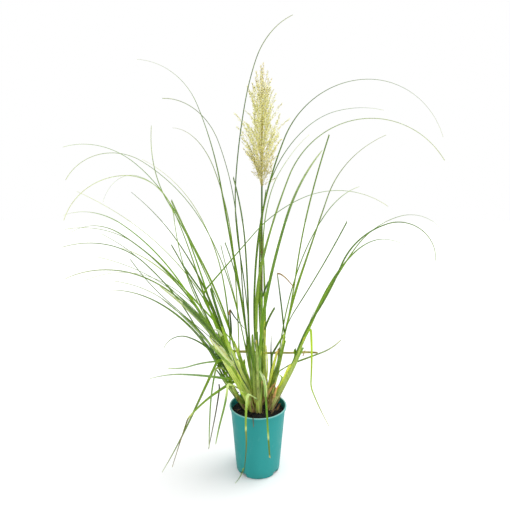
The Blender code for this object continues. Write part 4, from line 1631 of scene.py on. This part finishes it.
@dataclass
class GrassClump:
    """All the tillers with their leaves."""

    tillers: tuple[Tiller, ...]
    maker: LeafMaker
    core: float = 0.9          # a tiller's own stem, as a share of its packed radius
    pinch: float = 0.6         # how much thinner it is at its top, all of it past this share of its length
    light: tuple[float, float] = (0.45, 0.35)       # how light it is: at its foot, and more at its top
    layers: tuple[float, float] = (1.1, 0.22)      # how far out sheaths lie: the lowest, and less for the highest

    def stem(self, tiller: Tiller, finish: bpy.types.Material) -> None:
        """The rolled heart of a tiller, tapering into its uppermost leaves.

        Args:
            tiller: the shoot.
            finish: its material.
        """
        foot, axis = np.array((tiller.x, tiller.y, self.maker.level - SUNK)), tiller.axis()
        shares = np.linspace(0, 1, 15)
        thin = 1 - self.pinch * smooth((shares - self.pinch) / (1 - self.pinch))
        radii = self.core * tiller.radius(shares * tiller.length) * thin
        rod = grow_rod([foot + axis * share * tiller.length for share in shares], list(radii), 16)
        map_by_cube(rod)
        settle(rod, f"{tiller.name}_stem", 60)
        up = np.clip((places_of(rod) - foot) @ axis / tiller.length, 0, 1)
        paint(rod, tiller.skin.at(up) * (self.light[0] + self.light[1] * up)[:, None])
        hand_in(rod, finish, [f"{tiller.name}_tiller"])

    def dress(self, tiller: Tiller, finish: bpy.types.Material) -> None:
        """The loose outer sheaths of a tiller.

        Args:
            tiller: the shoot.
            finish: their material.
        """
        for k, leaf in enumerate(tiller.wraps, start=1):
            line = self.maker.line(tiller, leaf, 0, 1.06)
            hand_in(self.maker.arch(leaf, line, f"{tiller.name}_outer_sheath_{k}"), finish)

    def build(self) -> None:
        """Make each tiller's stem, leaves and outer sheaths and dress them."""
        leaf_finish = LeafFinish().material()
        sheath_finish = LeafFinish("sheath", veins=7, ribbing=0.2, rib=0.1).material()
        turn = 0
        for tiller in self.tillers:
            self.stem(tiller, sheath_finish)
            fine = 0
            for leaf in tiller.leaves:
                roll = ROLLS[turn % len(ROLLS)] if leaf.roll is None else leaf.roll
                layer = self.layers[0] - self.layers[1] * leaf.height / tiller.length
                if leaf.number:
                    name, nodes = f"{tiller.name}_leaf_{leaf.number}", [f"{tiller.name}_blade_{leaf.number}"]
                    turn += 1
                else:
                    fine += 1
                    name, nodes = f"{tiller.name}_fine_leaf_{fine}", []
                    layer -= 0.05
                obj = self.maker.arch(leaf, self.maker.line(tiller, leaf, roll, layer), name, tiller.skin)
                hand_in(obj, leaf_finish, nodes)
            self.dress(tiller, sheath_finish)


# ================ flower stalk and plume


@dataclass
class FlowerStalk:
    """The stalk: a slender culm with a node, wrapped in sheaths for the lower part."""

    level: float
    foot: tuple[float, float] = (0.0115, 0.03)
    tilt: float = 3.0           # degrees, towards +Y
    length: float = 0.668
    sheath_length: float = 0.33
    sheath_radius: float = 0.0064
    radius: float = 0.003
    top_radius: float = 0.0026
    node_at: tuple[float, ...] = (0.352, 0.47)
    swell: float = 1.22         # how much thicker it is at a node
    green: Colour = (0.34, 0.5, 0.12)
    olive: Colour = (0.28, 0.4, 0.07)
    brown: Colour = (0.42, 0.3, 0.16)

    def point(self, along: float) -> np.ndarray:
        """A point a distance up the stalk."""
        return np.array((*self.foot, self.level)) + heading(self.tilt, 90.0) * along

    def culm(self) -> Piece:
        """The bare stem, with a swelling at each node.

        Returns:
            The stem, painted.
        """
        rings = [(-SUNK, 0.0052), (0.1, 0.0048), (0.25, 0.0042), (self.sheath_length, 0.0036)]
        for node in self.node_at:
            rings += [(node - 0.004, self.radius), (node - 0.001, self.radius * self.swell),
                      (node + 0.001, self.radius * self.swell), (node + 0.004, self.radius)]
        rings += [(0.56, 0.0028), (self.length, self.top_radius)]
        rod = grow_rod([self.point(along) for along, _ in rings], [radius for _, radius in rings], 14)
        map_by_cube(rod)
        settle(rod, "flower_culm", 60)
        places = places_of(rod)
        along = (places - self.point(0)) @ heading(self.tilt, 90.0)
        green, olive, brown = shade(self.green), shade(self.olive), shade(self.brown)
        share = np.clip(along / self.length, 0, 1)[:, None]
        colours = green * (1 - share) + olive * share
        for node in self.node_at:
            near = np.exp(-(((along - node) / 0.005) ** 2))[:, None] * 0.8
            colours = colours * (1 - near) + brown * near
        paint(rod, colours)
        return rod

    def wrap(self, maker: LeafMaker) -> list[Piece]:
        """The leaf sheaths round the lower stalk, with a short pale flap each.

        Args:
            maker: makes them.

        Returns:
            The sheaths.
        """
        shoot = Tiller("stalk", *self.foot, self.tilt, 90, self.sheath_length, self.sheath_radius,
                       0.7 * self.sheath_radius, ())
        sheaths = (
            wrap(262, 0.325, 0.03, 8, 0.006, Skin.GREEN, Tint.GREEN, 0, 1.0),
            wrap(120, 0.3, 0.02, 12, 0.005, Skin.GREEN, Tint.DARK, 0, 1.0),
            wrap(352, 0.238, 0.026, 10, 0.006, Skin.YELLOW, Tint.YELLOW, 0.0015, 0.7),
            wrap(300, 0.185, 0.024, 12, 0.006, Skin.GREEN, Tint.OLIVE, 0.001, 0.8),
            wrap(345, 0.15, 0.018, 16, 0.006, Skin.YELLOW, Tint.YELLOW, 0.003, 0.6),
            wrap(225, 0.11, 0.016, 10, 0.005, Skin.LIGHT, Tint.CREAM, 0.002, 0.6),
        )
        made = []
        for k, leaf in enumerate(sheaths, start=1):
            line = maker.line(shoot, leaf, 0, 0.92)
            made.append(maker.arch(leaf, line, f"stalk_sheath_{k}"))
        return made

    def build(self, maker: LeafMaker) -> None:
        """Make the culm and its sheaths and dress them.

        Args:
            maker: makes the sheaths.
        """
        hand_in(self.culm(), LeafFinish("stalk", veins=8, rib=0).material(), ["flower_stalk"])
        finish = LeafFinish("stalk_sheath", veins=14, rib=0.1).material()
        for sheath in self.wrap(maker):
            hand_in(sheath, finish)


@dataclass
class Plume:
    """The plume: thin branches that rise from its axis, set all along with silky spikelets."""

    stalk: FlowerStalk
    height: float = 0.361
    branches: int = 84
    florets: int = 62           # on a branch 0.13 m long
    seed: int = 23
    tips: tuple[float, float] = (0.066, 0.25)      # height of the lowest tip, and more for the highest
    lengths: tuple[float, float] = (0.085, 0.15)   # of the branches
    sizes: tuple[float, float] = (0.0065, 0.0115)   # of the spikelets
    core: float = 0.0012        # branches start this far from the axis
    # height above the stalk, reach of the branch tips
    outline: tuple[tuple[float, float], ...] = (
        (0.0, 0.005), (0.03, 0.014), (0.059, 0.032), (0.088, 0.054), (0.117, 0.062), (0.161, 0.062),
        (0.2, 0.056), (0.249, 0.046), (0.293, 0.038), (0.337, 0.021), (0.361, 0.004),
    )
    # feathers that stray past the rest: height and reach of the tip, azimuth, length
    strays: tuple[tuple[float, float, float, float], ...] = (
        (0.214, 0.083, 184, 0.15), (0.176, 0.076, 176, 0.13), (0.148, 0.064, 190, 0.12), (0.2, 0.083, 4, 0.13),
        (0.24, 0.06, 352, 0.12), (0.15, 0.052, 8, 0.105), (0.126, 0.05, 356, 0.1), (0.095, 0.046, 182, 0.085),
        (0.128, 0.06, 184, 0.11), (0.112, 0.056, 177, 0.1), (0.14, 0.062, 187, 0.112), (0.1, 0.05, 188, 0.09),
        (0.044, 0.031, 178, 0.044), (0.024, 0.044, 2, 0.05), (0.05, 0.036, 10, 0.052), (0.19, 0.078, 90, 0.14),
        (0.2, 0.076, 266, 0.14), (0.17, 0.076, 45, 0.125), (0.176, 0.074, 225, 0.125), (0.196, 0.074, 312, 0.13),
        (0.186, 0.076, 136, 0.13), (0.292, 0.044, 182, 0.14), (0.283, 0.034, 0, 0.12), (0.337, 0.0176, 180, 0.13),
        (0.318, 0.02, 176, 0.11), (0.338, 0.0178, 2, 0.13), (0.315, 0.02, 6, 0.11), (0.361, 0.005, 10, 0.15),
        (0.352, 0.003, 190, 0.14), (0.345, 0.006, 80, 0.13), (0.343, 0.006, 270, 0.13),
    )

    def __post_init__(self) -> None:
        """Set the dice and the axis."""
        self.rng = np.random.default_rng(self.seed)
        self.foot = self.stalk.point(self.stalk.length)
        self.axis = heading(self.stalk.tilt, 90.0)

    def spikelet(self) -> Pattern:
        """One spikelet, one long: a slim husk with silky hairs that stand off it.

        Returns:
            The spikelet.
        """
        bpy.ops.mesh.primitive_cone_add(vertices=4, radius1=0.07, radius2=0.015, depth=0.6, location=(0, 0, 0.38))
        husk = bpy.context.active_object
        parts = [husk]
        for k in range(5):
            turn = 2 * pi * k / 5
            bpy.ops.mesh.primitive_cone_add(vertices=3, radius1=0.024, radius2=0.004, depth=0.9, location=(0, 0, 0.45))
            hair = bpy.context.active_object
            bpy.ops.object.transform_apply(location=True)
            hair.rotation_euler = (radians(16 + 3 * (k % 2)), 0, turn)
            bpy.ops.object.transform_apply(rotation=True)
            parts.append(hair)
        bpy.ops.object.select_all(action="DESELECT")
        for part in parts:
            part.select_set(True)
        bpy.context.view_layer.objects.active = husk
        bpy.ops.object.join()
        return Pattern.keep(husk, light=lambda places: 0.96 + 0.08 * np.clip(places[:, 2], 0, 1))

    def branch(self, tip: float, reach: float, azimuth: float, length: float) -> np.ndarray:
        """The line of one branch, close to the axis at first and then bending out.

        Args:
            tip: height of its tip above the stalk.
            reach: how far its tip stands from the axis.
            azimuth: which way it goes, in degrees.
            length: how far it climbs, as far as the plume lets it.

        Returns:
            Fifteen points along it.
        """
        climb = min(sqrt(max(length ** 2 - reach ** 2, 0.0004)), tip + 0.004)
        shares = np.linspace(0, 1, 15)
        ups = tip - climb + climb * (1.12 * shares - 0.12 * shares ** 3)
        outs = self.core + (reach - self.core) * (0.6 * shares + 0.4 * shares ** 1.7)
        out = heading(90.0, azimuth)
        out = unit(out - out.dot(self.axis) * self.axis)
        across = np.cross(self.axis, out)
        sway = reach * self.rng.uniform(-0.25, 0.25) * np.sin(pi * shares)
        return self.foot + self.axis * ups[:, None] + out * outs[:, None] + across * sway[:, None]

    def tints(self, rise: np.ndarray, share: np.ndarray) -> np.ndarray:
        """Colours of spikelets: olive low down, cream-yellow in the middle, paler and flecked at the top.

        Args:
            rise: how far up the plume each stands, as a share of its height.
            share: how far out along its branch.

        Returns:
            A colour for each.
        """
        stops = (0.0, 0.12, 0.3, 0.55, 0.8, 1.0)
        colours = np.array([linear(c) for c in (
            (0.74, 0.7, 0.34), (0.84, 0.8, 0.38), (1.0, 0.97, 0.5), (1.0, 0.99, 0.54), (1.0, 0.97, 0.62),
            (1.0, 0.93, 0.66),
        )])
        base = between(rise, stops, colours)
        pale = shade((1.0, 0.97, 0.76))
        base = base + (pale - base) * (0.4 * share)[:, None]
        dark = self.rng.random(len(rise)) < 0.02 + 0.16 * np.clip((rise - 0.7) / 0.3, 0, 1)
        base[dark] = base[dark] * np.array((0.7, 0.56, 0.45))
        return np.clip(base * self.rng.normal(1.03, 0.05, (len(rise), 1)), 0, 1)

    def plan(self) -> list[tuple[float, float, float, float]]:
        """Where each branch ends.

        Returns:
            The height and reach of each tip, its azimuth and the branch's length.
        """
        heights, reaches = zip(*self.outline)
        made = []
        for k in range(self.branches):
            tip = self.tips[0] + self.tips[1] * ((k + 0.5) / self.branches) ** 0.92
            reach = float(np.interp(tip, heights, reaches)) * self.rng.uniform(0.25, 1.08) ** 0.6
            length = self.rng.uniform(*self.lengths) * (1 - 0.9 * max(tip - 0.2, 0))
            made.append((tip, reach, GOLDEN_TURN * k + self.rng.uniform(-14, 14), length))
        return made + list(self.strays)

    def set_branch(self, gather: Gather, pattern: Pattern, plan: tuple[float, float, float, float]) -> None:
        """Make one branch and set its spikelets.

        Args:
            gather: takes them in.
            pattern: the spikelet.
            plan: the height and reach of the branch's tip, its azimuth and its length.
        """
        line = self.branch(*plan)
        length = float(np.linalg.norm(np.diff(line, axis=0), axis=1).sum())
        rise = plan[0] / self.height
        stem = shade((0.64, 0.61, 0.3)) * (1 - rise) + shade((0.98, 0.93, 0.58)) * rise
        places, faces = tube(line, np.linspace(0.00075, 0.0003, len(line)), 3)
        gather.add(places, faces, stem)

        count = round(self.florets * length / 0.13)
        share = 0.26 + 0.74 * self.rng.random(count) ** 0.62
        knots = np.linspace(0, 1, len(line))
        spots = between(share, knots, line)
        ahead = unit(between(share, knots, unit(np.gradient(line, axis=0))))
        loose = self.rng.normal(0, 1, (count, 3))
        loose -= (loose * ahead).sum(axis=1)[:, None] * ahead
        spots = spots + loose * (0.004 * np.sin(pi * np.clip(share, 0.1, 0.92)))[:, None]
        facing = unit(ahead + 0.26 * loose)
        side = unit(np.cross(facing, self.rng.normal(0, 1, (count, 3))))
        sizes = self.rng.uniform(*self.sizes, count) * (1 - 0.25 * share)
        frames = np.stack((side, np.cross(facing, side), facing), axis=-1) * sizes[:, None, None]
        up = (spots - self.foot) @ self.axis / self.height
        gather.copies(pattern, frames, spots, self.tints(up, share))

    def build(self) -> None:
        """Make the rachis and the branches in three lots and dress them."""
        finish = PlumeFinish().material()
        pattern = self.spikelet()
        plans = self.plan()
        lots = (("plume_lower", 0.0, 0.148), ("plume_middle", 0.148, 0.23), ("plume_upper", 0.23, 1.0))
        for name, low, high in lots:
            gather = Gather()
            if low == 0:
                core = np.array([self.foot + self.axis * along for along in np.linspace(0, 0.93 * self.height, 24)])
                places, faces = tube(core, np.linspace(0.0018, 0.0003, len(core)), 6)
                gather.add(places, faces, shade((0.66, 0.63, 0.32)))
            for plan in plans:
                if low <= plan[0] < high:
                    self.set_branch(gather, pattern, plan)
            hand_in(gather.make(name), finish, ["plume"])


# ================ dry bits


@dataclass
class DryStick:
    """A thin dead stem that lies across the clump between the tillers."""

    start: tuple[float, float, float] = (-0.128, 0.054, 0.341)
    end: tuple[float, float, float] = (0.186, 0.06, 0.332)
    radius: float = 0.0037
    taper: float = 0.15
    sag: float = 0.003
    joints: tuple[float, ...] = (0.28, 0.61, 0.86)
    dark: Colour = (0.5, 0.46, 0.2)
    light: Colour = (0.8, 0.77, 0.44)

    def build(self, finish: bpy.types.Material) -> None:
        """Grow the stick with its joints, and dress it.

        Args:
            finish: its material.
        """
        start, end = Vector(self.start), Vector(self.end)
        shares = sorted({*np.linspace(0, 1, 15), *(j - 0.008 for j in self.joints), *(j + 0.008 for j in self.joints)})
        points, radii = [], []
        for share in shares:
            swell = 1.22 if any(abs(share - joint) < 0.02 for joint in self.joints) else 1.0
            wander = 0.0008 * sin(9 * share) + 0.0005 * sin(23 * share)
            points.append(start.lerp(end, share) + Vector((0, wander, -self.sag * sin(pi * share) + wander)))
            radii.append(self.radius * (1 - self.taper * share) * swell)
        stick = grow_rod(points, radii, 9)
        settle(stick, "dry_cane", 60)
        share = (places_of(stick)[:, 0] - start.x) / (end.x - start.x)
        dark, light = shade(self.dark), shade(self.light)
        mixed = 0.5 + 0.5 * np.sin(share * 31)
        paint(stick, dark + (light - dark) * (0.25 + 0.5 * mixed)[:, None])
        hand_in(stick, finish, ["dry_stick"])


@dataclass(frozen=True)
class Bit:
    """A loose bit of leaf, or a near-black strip of painted shade: the points that it runs through, its width, its
    tint and how it ends.
    """

    name: str
    points: tuple[tuple[float, float, float], ...]
    width: float
    tint: Tint
    tip: Tip = Tip.FINE
    taper: float = 0.7


BITS = (
    Bit("hanging_hair", ((-0.1139, -0.026, 0.2693), (-0.1114, -0.0345, 0.2582), (-0.1217, -0.043, 0.1928),
        (-0.133, -0.0515, 0.1368), (-0.1426, -0.06, 0.0902)), 0.0034, Tint.WITHERED, taper=0.6),
    Bit("root_over_rim", ((-0.016, -0.07, 0.186), (-0.0146, -0.084, 0.1985), (-0.0138, -0.0885, 0.19),
        (-0.0129, -0.0875, 0.1732)), 0.003, Tint.WITHERED, Tip.CUT),
    Bit("stub_behind_rim", ((-0.058, 0.03, 0.2175), (-0.069, 0.03, 0.2165), (-0.0757, 0.03, 0.218)), 0.003,
        Tint.WITHERED, Tip.CUT),
    Bit("short_cut_leaf", ((0.0125, 0.04, 0.512), (0.018, 0.044, 0.526), (0.0319, 0.05, 0.5599)), 0.006, Tint.DARK,
        Tip.CUT),
    Bit("tail_on_floor", ((-0.0425, -0.0655, 0.036), (-0.045, -0.069, 0.026), (-0.053, -0.077, 0.014),
        (-0.065, -0.086, 0.004)), 0.0022, Tint.GREY),
    Bit("twig_at_cane", ((0.14, 0.056, 0.322), (0.143, 0.057, 0.331), (0.1475, 0.058, 0.342)), 0.0024, Tint.STRAW),
    Bit("bent_brown_leaf", ((-0.079, 0.006, 0.408), (-0.08, 0.004, 0.44), (-0.0826, 0.0, 0.48),
        (-0.081, -0.001, 0.484), (-0.07, 0.002, 0.462), (-0.04, 0.01, 0.424)), 0.0055, Tint.DARK),
    Bit("dry_scale_right", ((0.056, -0.01, 0.18), (0.062, -0.008, 0.192), (0.066, -0.006, 0.2)), 0.006, Tint.RUSSET,
        Tip.CUT),
    Bit("dry_scale_front", ((0.038, -0.03, 0.18), (0.043, -0.034, 0.188), (0.046, -0.036, 0.198)), 0.0045, Tint.STRAW,
        Tip.CUT),
    Bit("thin_shoot_middle", ((0.04, 0.03, 0.3), (0.0395, 0.03, 0.35), (0.04, 0.028, 0.396)), 0.004, Tint.GREEN),
    Bit("green_sheath_left", ((-0.0177, -0.03, 0.2347), (-0.035, -0.0352, 0.2736), (-0.0491, -0.0404, 0.3058),
        (-0.0644, -0.0456, 0.3494), (-0.085, -0.0508, 0.398), (-0.1023, -0.056, 0.4515)), 0.019, Tint.SHEATH_GREEN,
        taper=0.45),
    Bit("pale_sheath_left", ((-0.0322, -0.034, 0.2428), (-0.0535, -0.0396, 0.2846), (-0.0745, -0.0452, 0.3197),
        (-0.0951, -0.0508, 0.3602), (-0.1154, -0.0564, 0.3942), (-0.1354, -0.062, 0.4219)), 0.029, Tint.SHEATH_CREAM,
        taper=0.4),
    Bit("cream_flap_left", ((-0.0678, -0.062, 0.3442), (-0.0829, -0.0635, 0.3636), (-0.098, -0.065, 0.3829),
        (-0.1143, -0.0665, 0.402), (-0.1305, -0.068, 0.4211)), 0.021, Tint.PAPER, taper=0.5),
    Bit("paper_tip_left", ((-0.1006, -0.062, 0.4248), (-0.1075, -0.0613, 0.4374), (-0.1145, -0.0607, 0.4421),
        (-0.1242, -0.06, 0.4427)), 0.0065, Tint.PAPER, taper=0.4),
    Bit("dark_stripe_left", ((-0.0651, -0.06, 0.3347), (-0.0774, -0.0627, 0.3618), (-0.0978, -0.0653, 0.4002),
        (-0.1165, -0.068, 0.4381)), 0.0034, Tint.GREEN, taper=0.4),
    Bit("pale_stripe_left", ((-0.0429, -0.058, 0.2987), (-0.065, -0.062, 0.3355), (-0.0951, -0.066, 0.3804),
        (-0.1276, -0.07, 0.4189)), 0.0036, Tint.CREAM, taper=0.5),
    Bit("yellow_tip_left", ((-0.0418, -0.048, 0.2794), (-0.0488, -0.0507, 0.2955), (-0.0543, -0.0533, 0.3084),
        (-0.0598, -0.056, 0.3199)), 0.009, Tint.YELLOW, taper=0.4),
    Bit("green_flank_left", ((-0.0178, -0.022, 0.2339), (-0.0323, -0.0265, 0.2787), (-0.0436, -0.031, 0.3198),
        (-0.0562, -0.0355, 0.3632), (-0.0658, -0.04, 0.3972)), 0.012, Tint.SHEATH_DARK, taper=0.35),
    Bit("green_blade_outer", ((-0.0442, -0.02, 0.2452), (-0.0732, -0.0225, 0.2829), (-0.1104, -0.025, 0.3383),
        (-0.1527, -0.0275, 0.3959), (-0.1946, -0.03, 0.4409)), 0.006, Tint.GREEN, taper=0.5),
    Bit("dark_blade_outer", ((-0.0533, -0.012, 0.2568), (-0.0824, -0.014, 0.299), (-0.1169, -0.016, 0.3529),
        (-0.1538, -0.018, 0.4076), (-0.1903, -0.02, 0.4526)), 0.0062, Tint.DARK, taper=0.5),
    # painted shade: a near-black strip where the clump lies in shadow
    Bit("shade_outer", ((-0.0652, -0.008, 0.2796), (-0.0827, -0.009, 0.3015), (-0.0942, -0.01, 0.3233)), 0.0065,
        Tint.SHADE, taper=0.4),
    Bit("green_column_centre", ((-0.0046, -0.034, 0.2185), (-0.0076, -0.0355, 0.2737), (-0.0104, -0.037, 0.3401),
        (-0.0147, -0.0385, 0.3908), (-0.0164, -0.04, 0.4235)), 0.016, Tint.COLUMN, taper=0.35),
    Bit("light_column_centre", ((0.0008, -0.038, 0.2266), (-0.0004, -0.039, 0.2873), (-0.0021, -0.04, 0.3472),
        (-0.0039, -0.041, 0.377), (-0.0056, -0.042, 0.4067)), 0.0085, Tint.SHEATH_LIME, taper=0.4),
    Bit("pale_edge_centre", ((-0.0171, -0.04, 0.2638), (-0.0181, -0.042, 0.3125), (-0.0198, -0.044, 0.3664)), 0.0028,
        Tint.YELLOWISH, taper=0.5),
    Bit("brown_tip_left", ((-0.083, -0.004, 0.469), (-0.0836, -0.004, 0.4764), (-0.0821, -0.004, 0.4853)), 0.0058,
        Tint.RUSSET, Tip.CUT, taper=0.4),
    Bit("streak_left", ((-0.026, -0.058, 0.2663), (-0.0456, -0.06, 0.3025), (-0.0622, -0.062, 0.3384),
        (-0.0758, -0.064, 0.3796)), 0.0026, Tint.DARK, taper=0.4),
    Bit("snapped_blade_middle", ((0.081, 0.02, 0.3921), (0.078, 0.0225, 0.4159), (0.0723, 0.025, 0.4704),
        (0.0649, 0.0275, 0.5306), (0.057, 0.03, 0.5875)), 0.0056, Tint.GREEN, Tip.CUT, taper=0.3),
    Bit("snapped_tip_middle", ((0.0564, 0.03, 0.5863), (0.0668, 0.031, 0.5849), (0.0819, 0.032, 0.5736),
        (0.097, 0.033, 0.5568), (0.1077, 0.034, 0.543)), 0.0042, Tint.STRAW, taper=0.5),
    # painted shade: two near-black strips where the clump lies in shadow
    Bit("shade_centre", ((0.0071, -0.02, 0.2849), (0.0041, -0.02, 0.3061), (0.0021, -0.02, 0.3273)), 0.0045,
        Tint.SHADE, Tip.CUT, taper=0.4),
    Bit("shade_middle", ((0.029, 0.02, 0.2292), (0.0275, 0.02, 0.2482), (0.0274, 0.02, 0.2609)), 0.006, Tint.SHADE,
        Tip.CUT, taper=0.4),
    Bit("yellow_flap_right", ((0.0528, -0.018, 0.2288), (0.0671, -0.021, 0.2579), (0.0784, -0.024, 0.2882),
        (0.0866, -0.027, 0.3121), (0.0949, -0.03, 0.3298)), 0.015, Tint.YELLOW, Tip.CUT, taper=0.9),
    Bit("pale_flap_right", ((0.0555, -0.022, 0.2308), (0.0741, -0.0255, 0.2661), (0.0951, -0.029, 0.3129),
        (0.1159, -0.0325, 0.3621), (0.1322, -0.036, 0.4134)), 0.01, Tint.SHEATH_LIME, taper=0.4),
    Bit("yellow_strip_middle", ((0.0267, -0.006, 0.2323), (0.0371, -0.0027, 0.2772), (0.0474, 0.0007, 0.319),
        (0.0577, 0.004, 0.3592)), 0.0098, Tint.YELLOW_RUST, Tip.CUT, taper=0.6),
    Bit("green_strip_middle", ((0.0766, 0.004, 0.4095), (0.0561, 0.0024, 0.3735), (0.0399, 0.0008, 0.3466),
        (0.0414, -0.0008, 0.3257), (0.0341, -0.0024, 0.2709), (0.0312, -0.004, 0.2344)), 0.0064, Tint.GREEN, Tip.CUT,
        taper=0.3),
    Bit("light_strip_middle", ((0.0357, -0.004, 0.2282), (0.0504, -0.003, 0.2774), (0.062, -0.002, 0.3262),
        (0.0721, -0.001, 0.3777), (0.0777, 0.0, 0.4168)), 0.0072, Tint.SHEATH_DARK, taper=0.3),
    Bit("tan_scale_middle", ((0.0234, -0.02, 0.2206), (0.0306, -0.02, 0.239), (0.0408, -0.02, 0.2574),
        (0.051, -0.02, 0.2696)), 0.0085, Tint.TAN, taper=0.6),
    Bit("tan_scale_right", ((0.0465, -0.028, 0.2277), (0.0522, -0.028, 0.252), (0.0593, -0.028, 0.2672)), 0.0065,
        Tint.TAN, taper=0.6),
    Bit("pale_tongue", ((0.0227, -0.04, 0.2367), (0.0212, -0.04, 0.2728), (0.0168, -0.04, 0.2967),
        (0.0068, -0.04, 0.3086)), 0.0105, Tint.PAPER, taper=0.35),
    Bit("yellow_edge_stalk", ((0.0208, -0.004, 0.2344), (0.0228, -0.0007, 0.2856), (0.0218, 0.0027, 0.3612),
        (0.02, 0.006, 0.421)), 0.0044, Tint.YELLOW, Tip.CUT, taper=0.5),
    Bit("yellow_wing_stalk", ((0.0222, -0.006, 0.2478), (0.0275, -0.0033, 0.296), (0.0271, -0.0007, 0.338),
        (0.0241, 0.002, 0.3767)), 0.0048, Tint.YELLOW, taper=0.5),
)


@dataclass
class Litter:
    """Dead sheaths at the feet of the tillers, broken bits of leaf, and near-black strips of painted shade among them.
    """

    maker: LeafMaker
    tillers: tuple[Tiller, ...]
    shreds: int = 3             # to each tiller
    broad: float = 0.009        # bits wider than this have the finish of a sheath
    seed: int = 31

    def shred(self, rng: np.random.Generator, tiller: Tiller) -> Leaf:
        """One short, torn, papery sheath at a tiller's foot.

        Args:
            rng: the dice.
            tiller: the shoot that it lies against.

        Returns:
            The sheath as a leaf of its own.
        """
        skin, tint = (Skin.DEAD, Tint.STRAW) if rng.random() < 0.5 else (Skin.DEAD, Tint.RUSSET)
        leans = (rng.uniform(6, 20) + tiller.lean, rng.uniform(12, 40), rng.uniform(20, 75))
        return Leaf(0, rng.uniform(0, 360), rng.uniform(0.012, 0.034), rng.uniform(0.012, 0.034),
                    rng.uniform(0.0028, 0.005), leans, tint=tint, skin=skin, clasp=rng.uniform(0.2, 0.4))

    def build(self, finish: bpy.types.Material) -> None:
        """Make all the loose bits.

        Args:
            finish: the material of all but the widest.
        """
        broad = LeafFinish("broad_sheath", veins=7, ribbing=0.16, rib=0.05, glow=0.6).material()
        rng = np.random.default_rng(self.seed)
        for tiller in self.tillers:
            for k in range(1, self.shreds + 1):
                leaf = self.shred(rng, tiller)
                line = self.maker.line(tiller, leaf, rng.uniform(-30, 30), 1.12)
                hand_in(self.maker.arch(leaf, line, f"{tiller.name}_dry_sheath_{k}"), finish)
        for bit in BITS:
            line = self.maker.line_through(bit.points)
            leaf = Leaf(0, 0, 0, line.length, bit.width, (0, 0), tip=bit.tip, tint=bit.tint, taper=bit.taper, clasp=0)
            hand_in(self.maker.arch(leaf, line, bit.name), broad if bit.width > self.broad else finish)


# ================ studio


@dataclass
class Studio:
    """A wide pale floor under an even white sky, one broad soft light, and the camera."""

    camera_spot: tuple[float, float, float] = (-0.009, -1.096, 0.76)
    camera_pitch: float = 6.02      # degrees below level
    lens: float = 27.04
    floor_size: float = 80.0
    glow: float = 1.0
    sun_turn: tuple[float, float] = (40, 108)       # from upright, and round from the front to the right
    sun_power: float = 1.5

    def floor(self) -> None:
        """A wide flat floor."""
        bpy.ops.mesh.primitive_plane_add(size=self.floor_size, location=(0, 0, -0.0004))
        floor = settle(bpy.context.active_object, "studio_floor", None)
        floor.data.materials.append(FloorFinish().material())

    def sky(self) -> None:
        """An even white surround."""
        world = bpy.data.worlds.new("studio")
        world.use_nodes = True
        shade = next(node for node in world.node_tree.nodes if node.type == "BACKGROUND")
        shade.inputs["Color"].default_value = (1, 1, 1, 1)
        shade.inputs["Strength"].default_value = self.glow
        bpy.context.scene.world = world

    def sun(self) -> None:
        """A broad soft light from the right and a little behind."""
        tilt, turn = (radians(angle) for angle in self.sun_turn)
        bpy.ops.object.light_add(type="SUN", location=(1, -1, 2), rotation=(tilt, 0, turn))
        sun = bpy.context.active_object
        sun.name = "soft_light"
        sun.data.energy = self.sun_power
        sun.data.angle = radians(50)

    def build(self) -> None:
        """Set the floor, the lights and the camera."""
        self.floor()
        self.sky()
        self.sun()
        bpy.ops.object.camera_add(location=self.camera_spot, rotation=(radians(90 - self.camera_pitch), 0, 0))
        camera = bpy.context.active_object
        camera.name = "camera"
        camera.data.lens = self.lens
        camera.data.sensor_width = 36
        bpy.context.scene.camera = camera
        bpy.context.scene.view_settings.view_transform = "Standard"


# ================ the whole object


def main() -> None:
    """Build every piece in order."""
    logging.basicConfig(level=logging.INFO, format="%(message)s")
    pot = NurseryPot()
    pot.build()
    compost = Compost(pot)
    compost.build()
    maker = LeafMaker(compost.level)
    clump = GrassClump(TILLERS, maker)
    clump.build()
    stalk = FlowerStalk(compost.level)
    stalk.build(maker)
    Plume(stalk).build()
    dry = DryFinish().material()
    DryStick().build(dry)
    Litter(maker, TILLERS).build(dry)
    maker.clear()
    Studio().build()


if __name__ == "__main__":
    main()
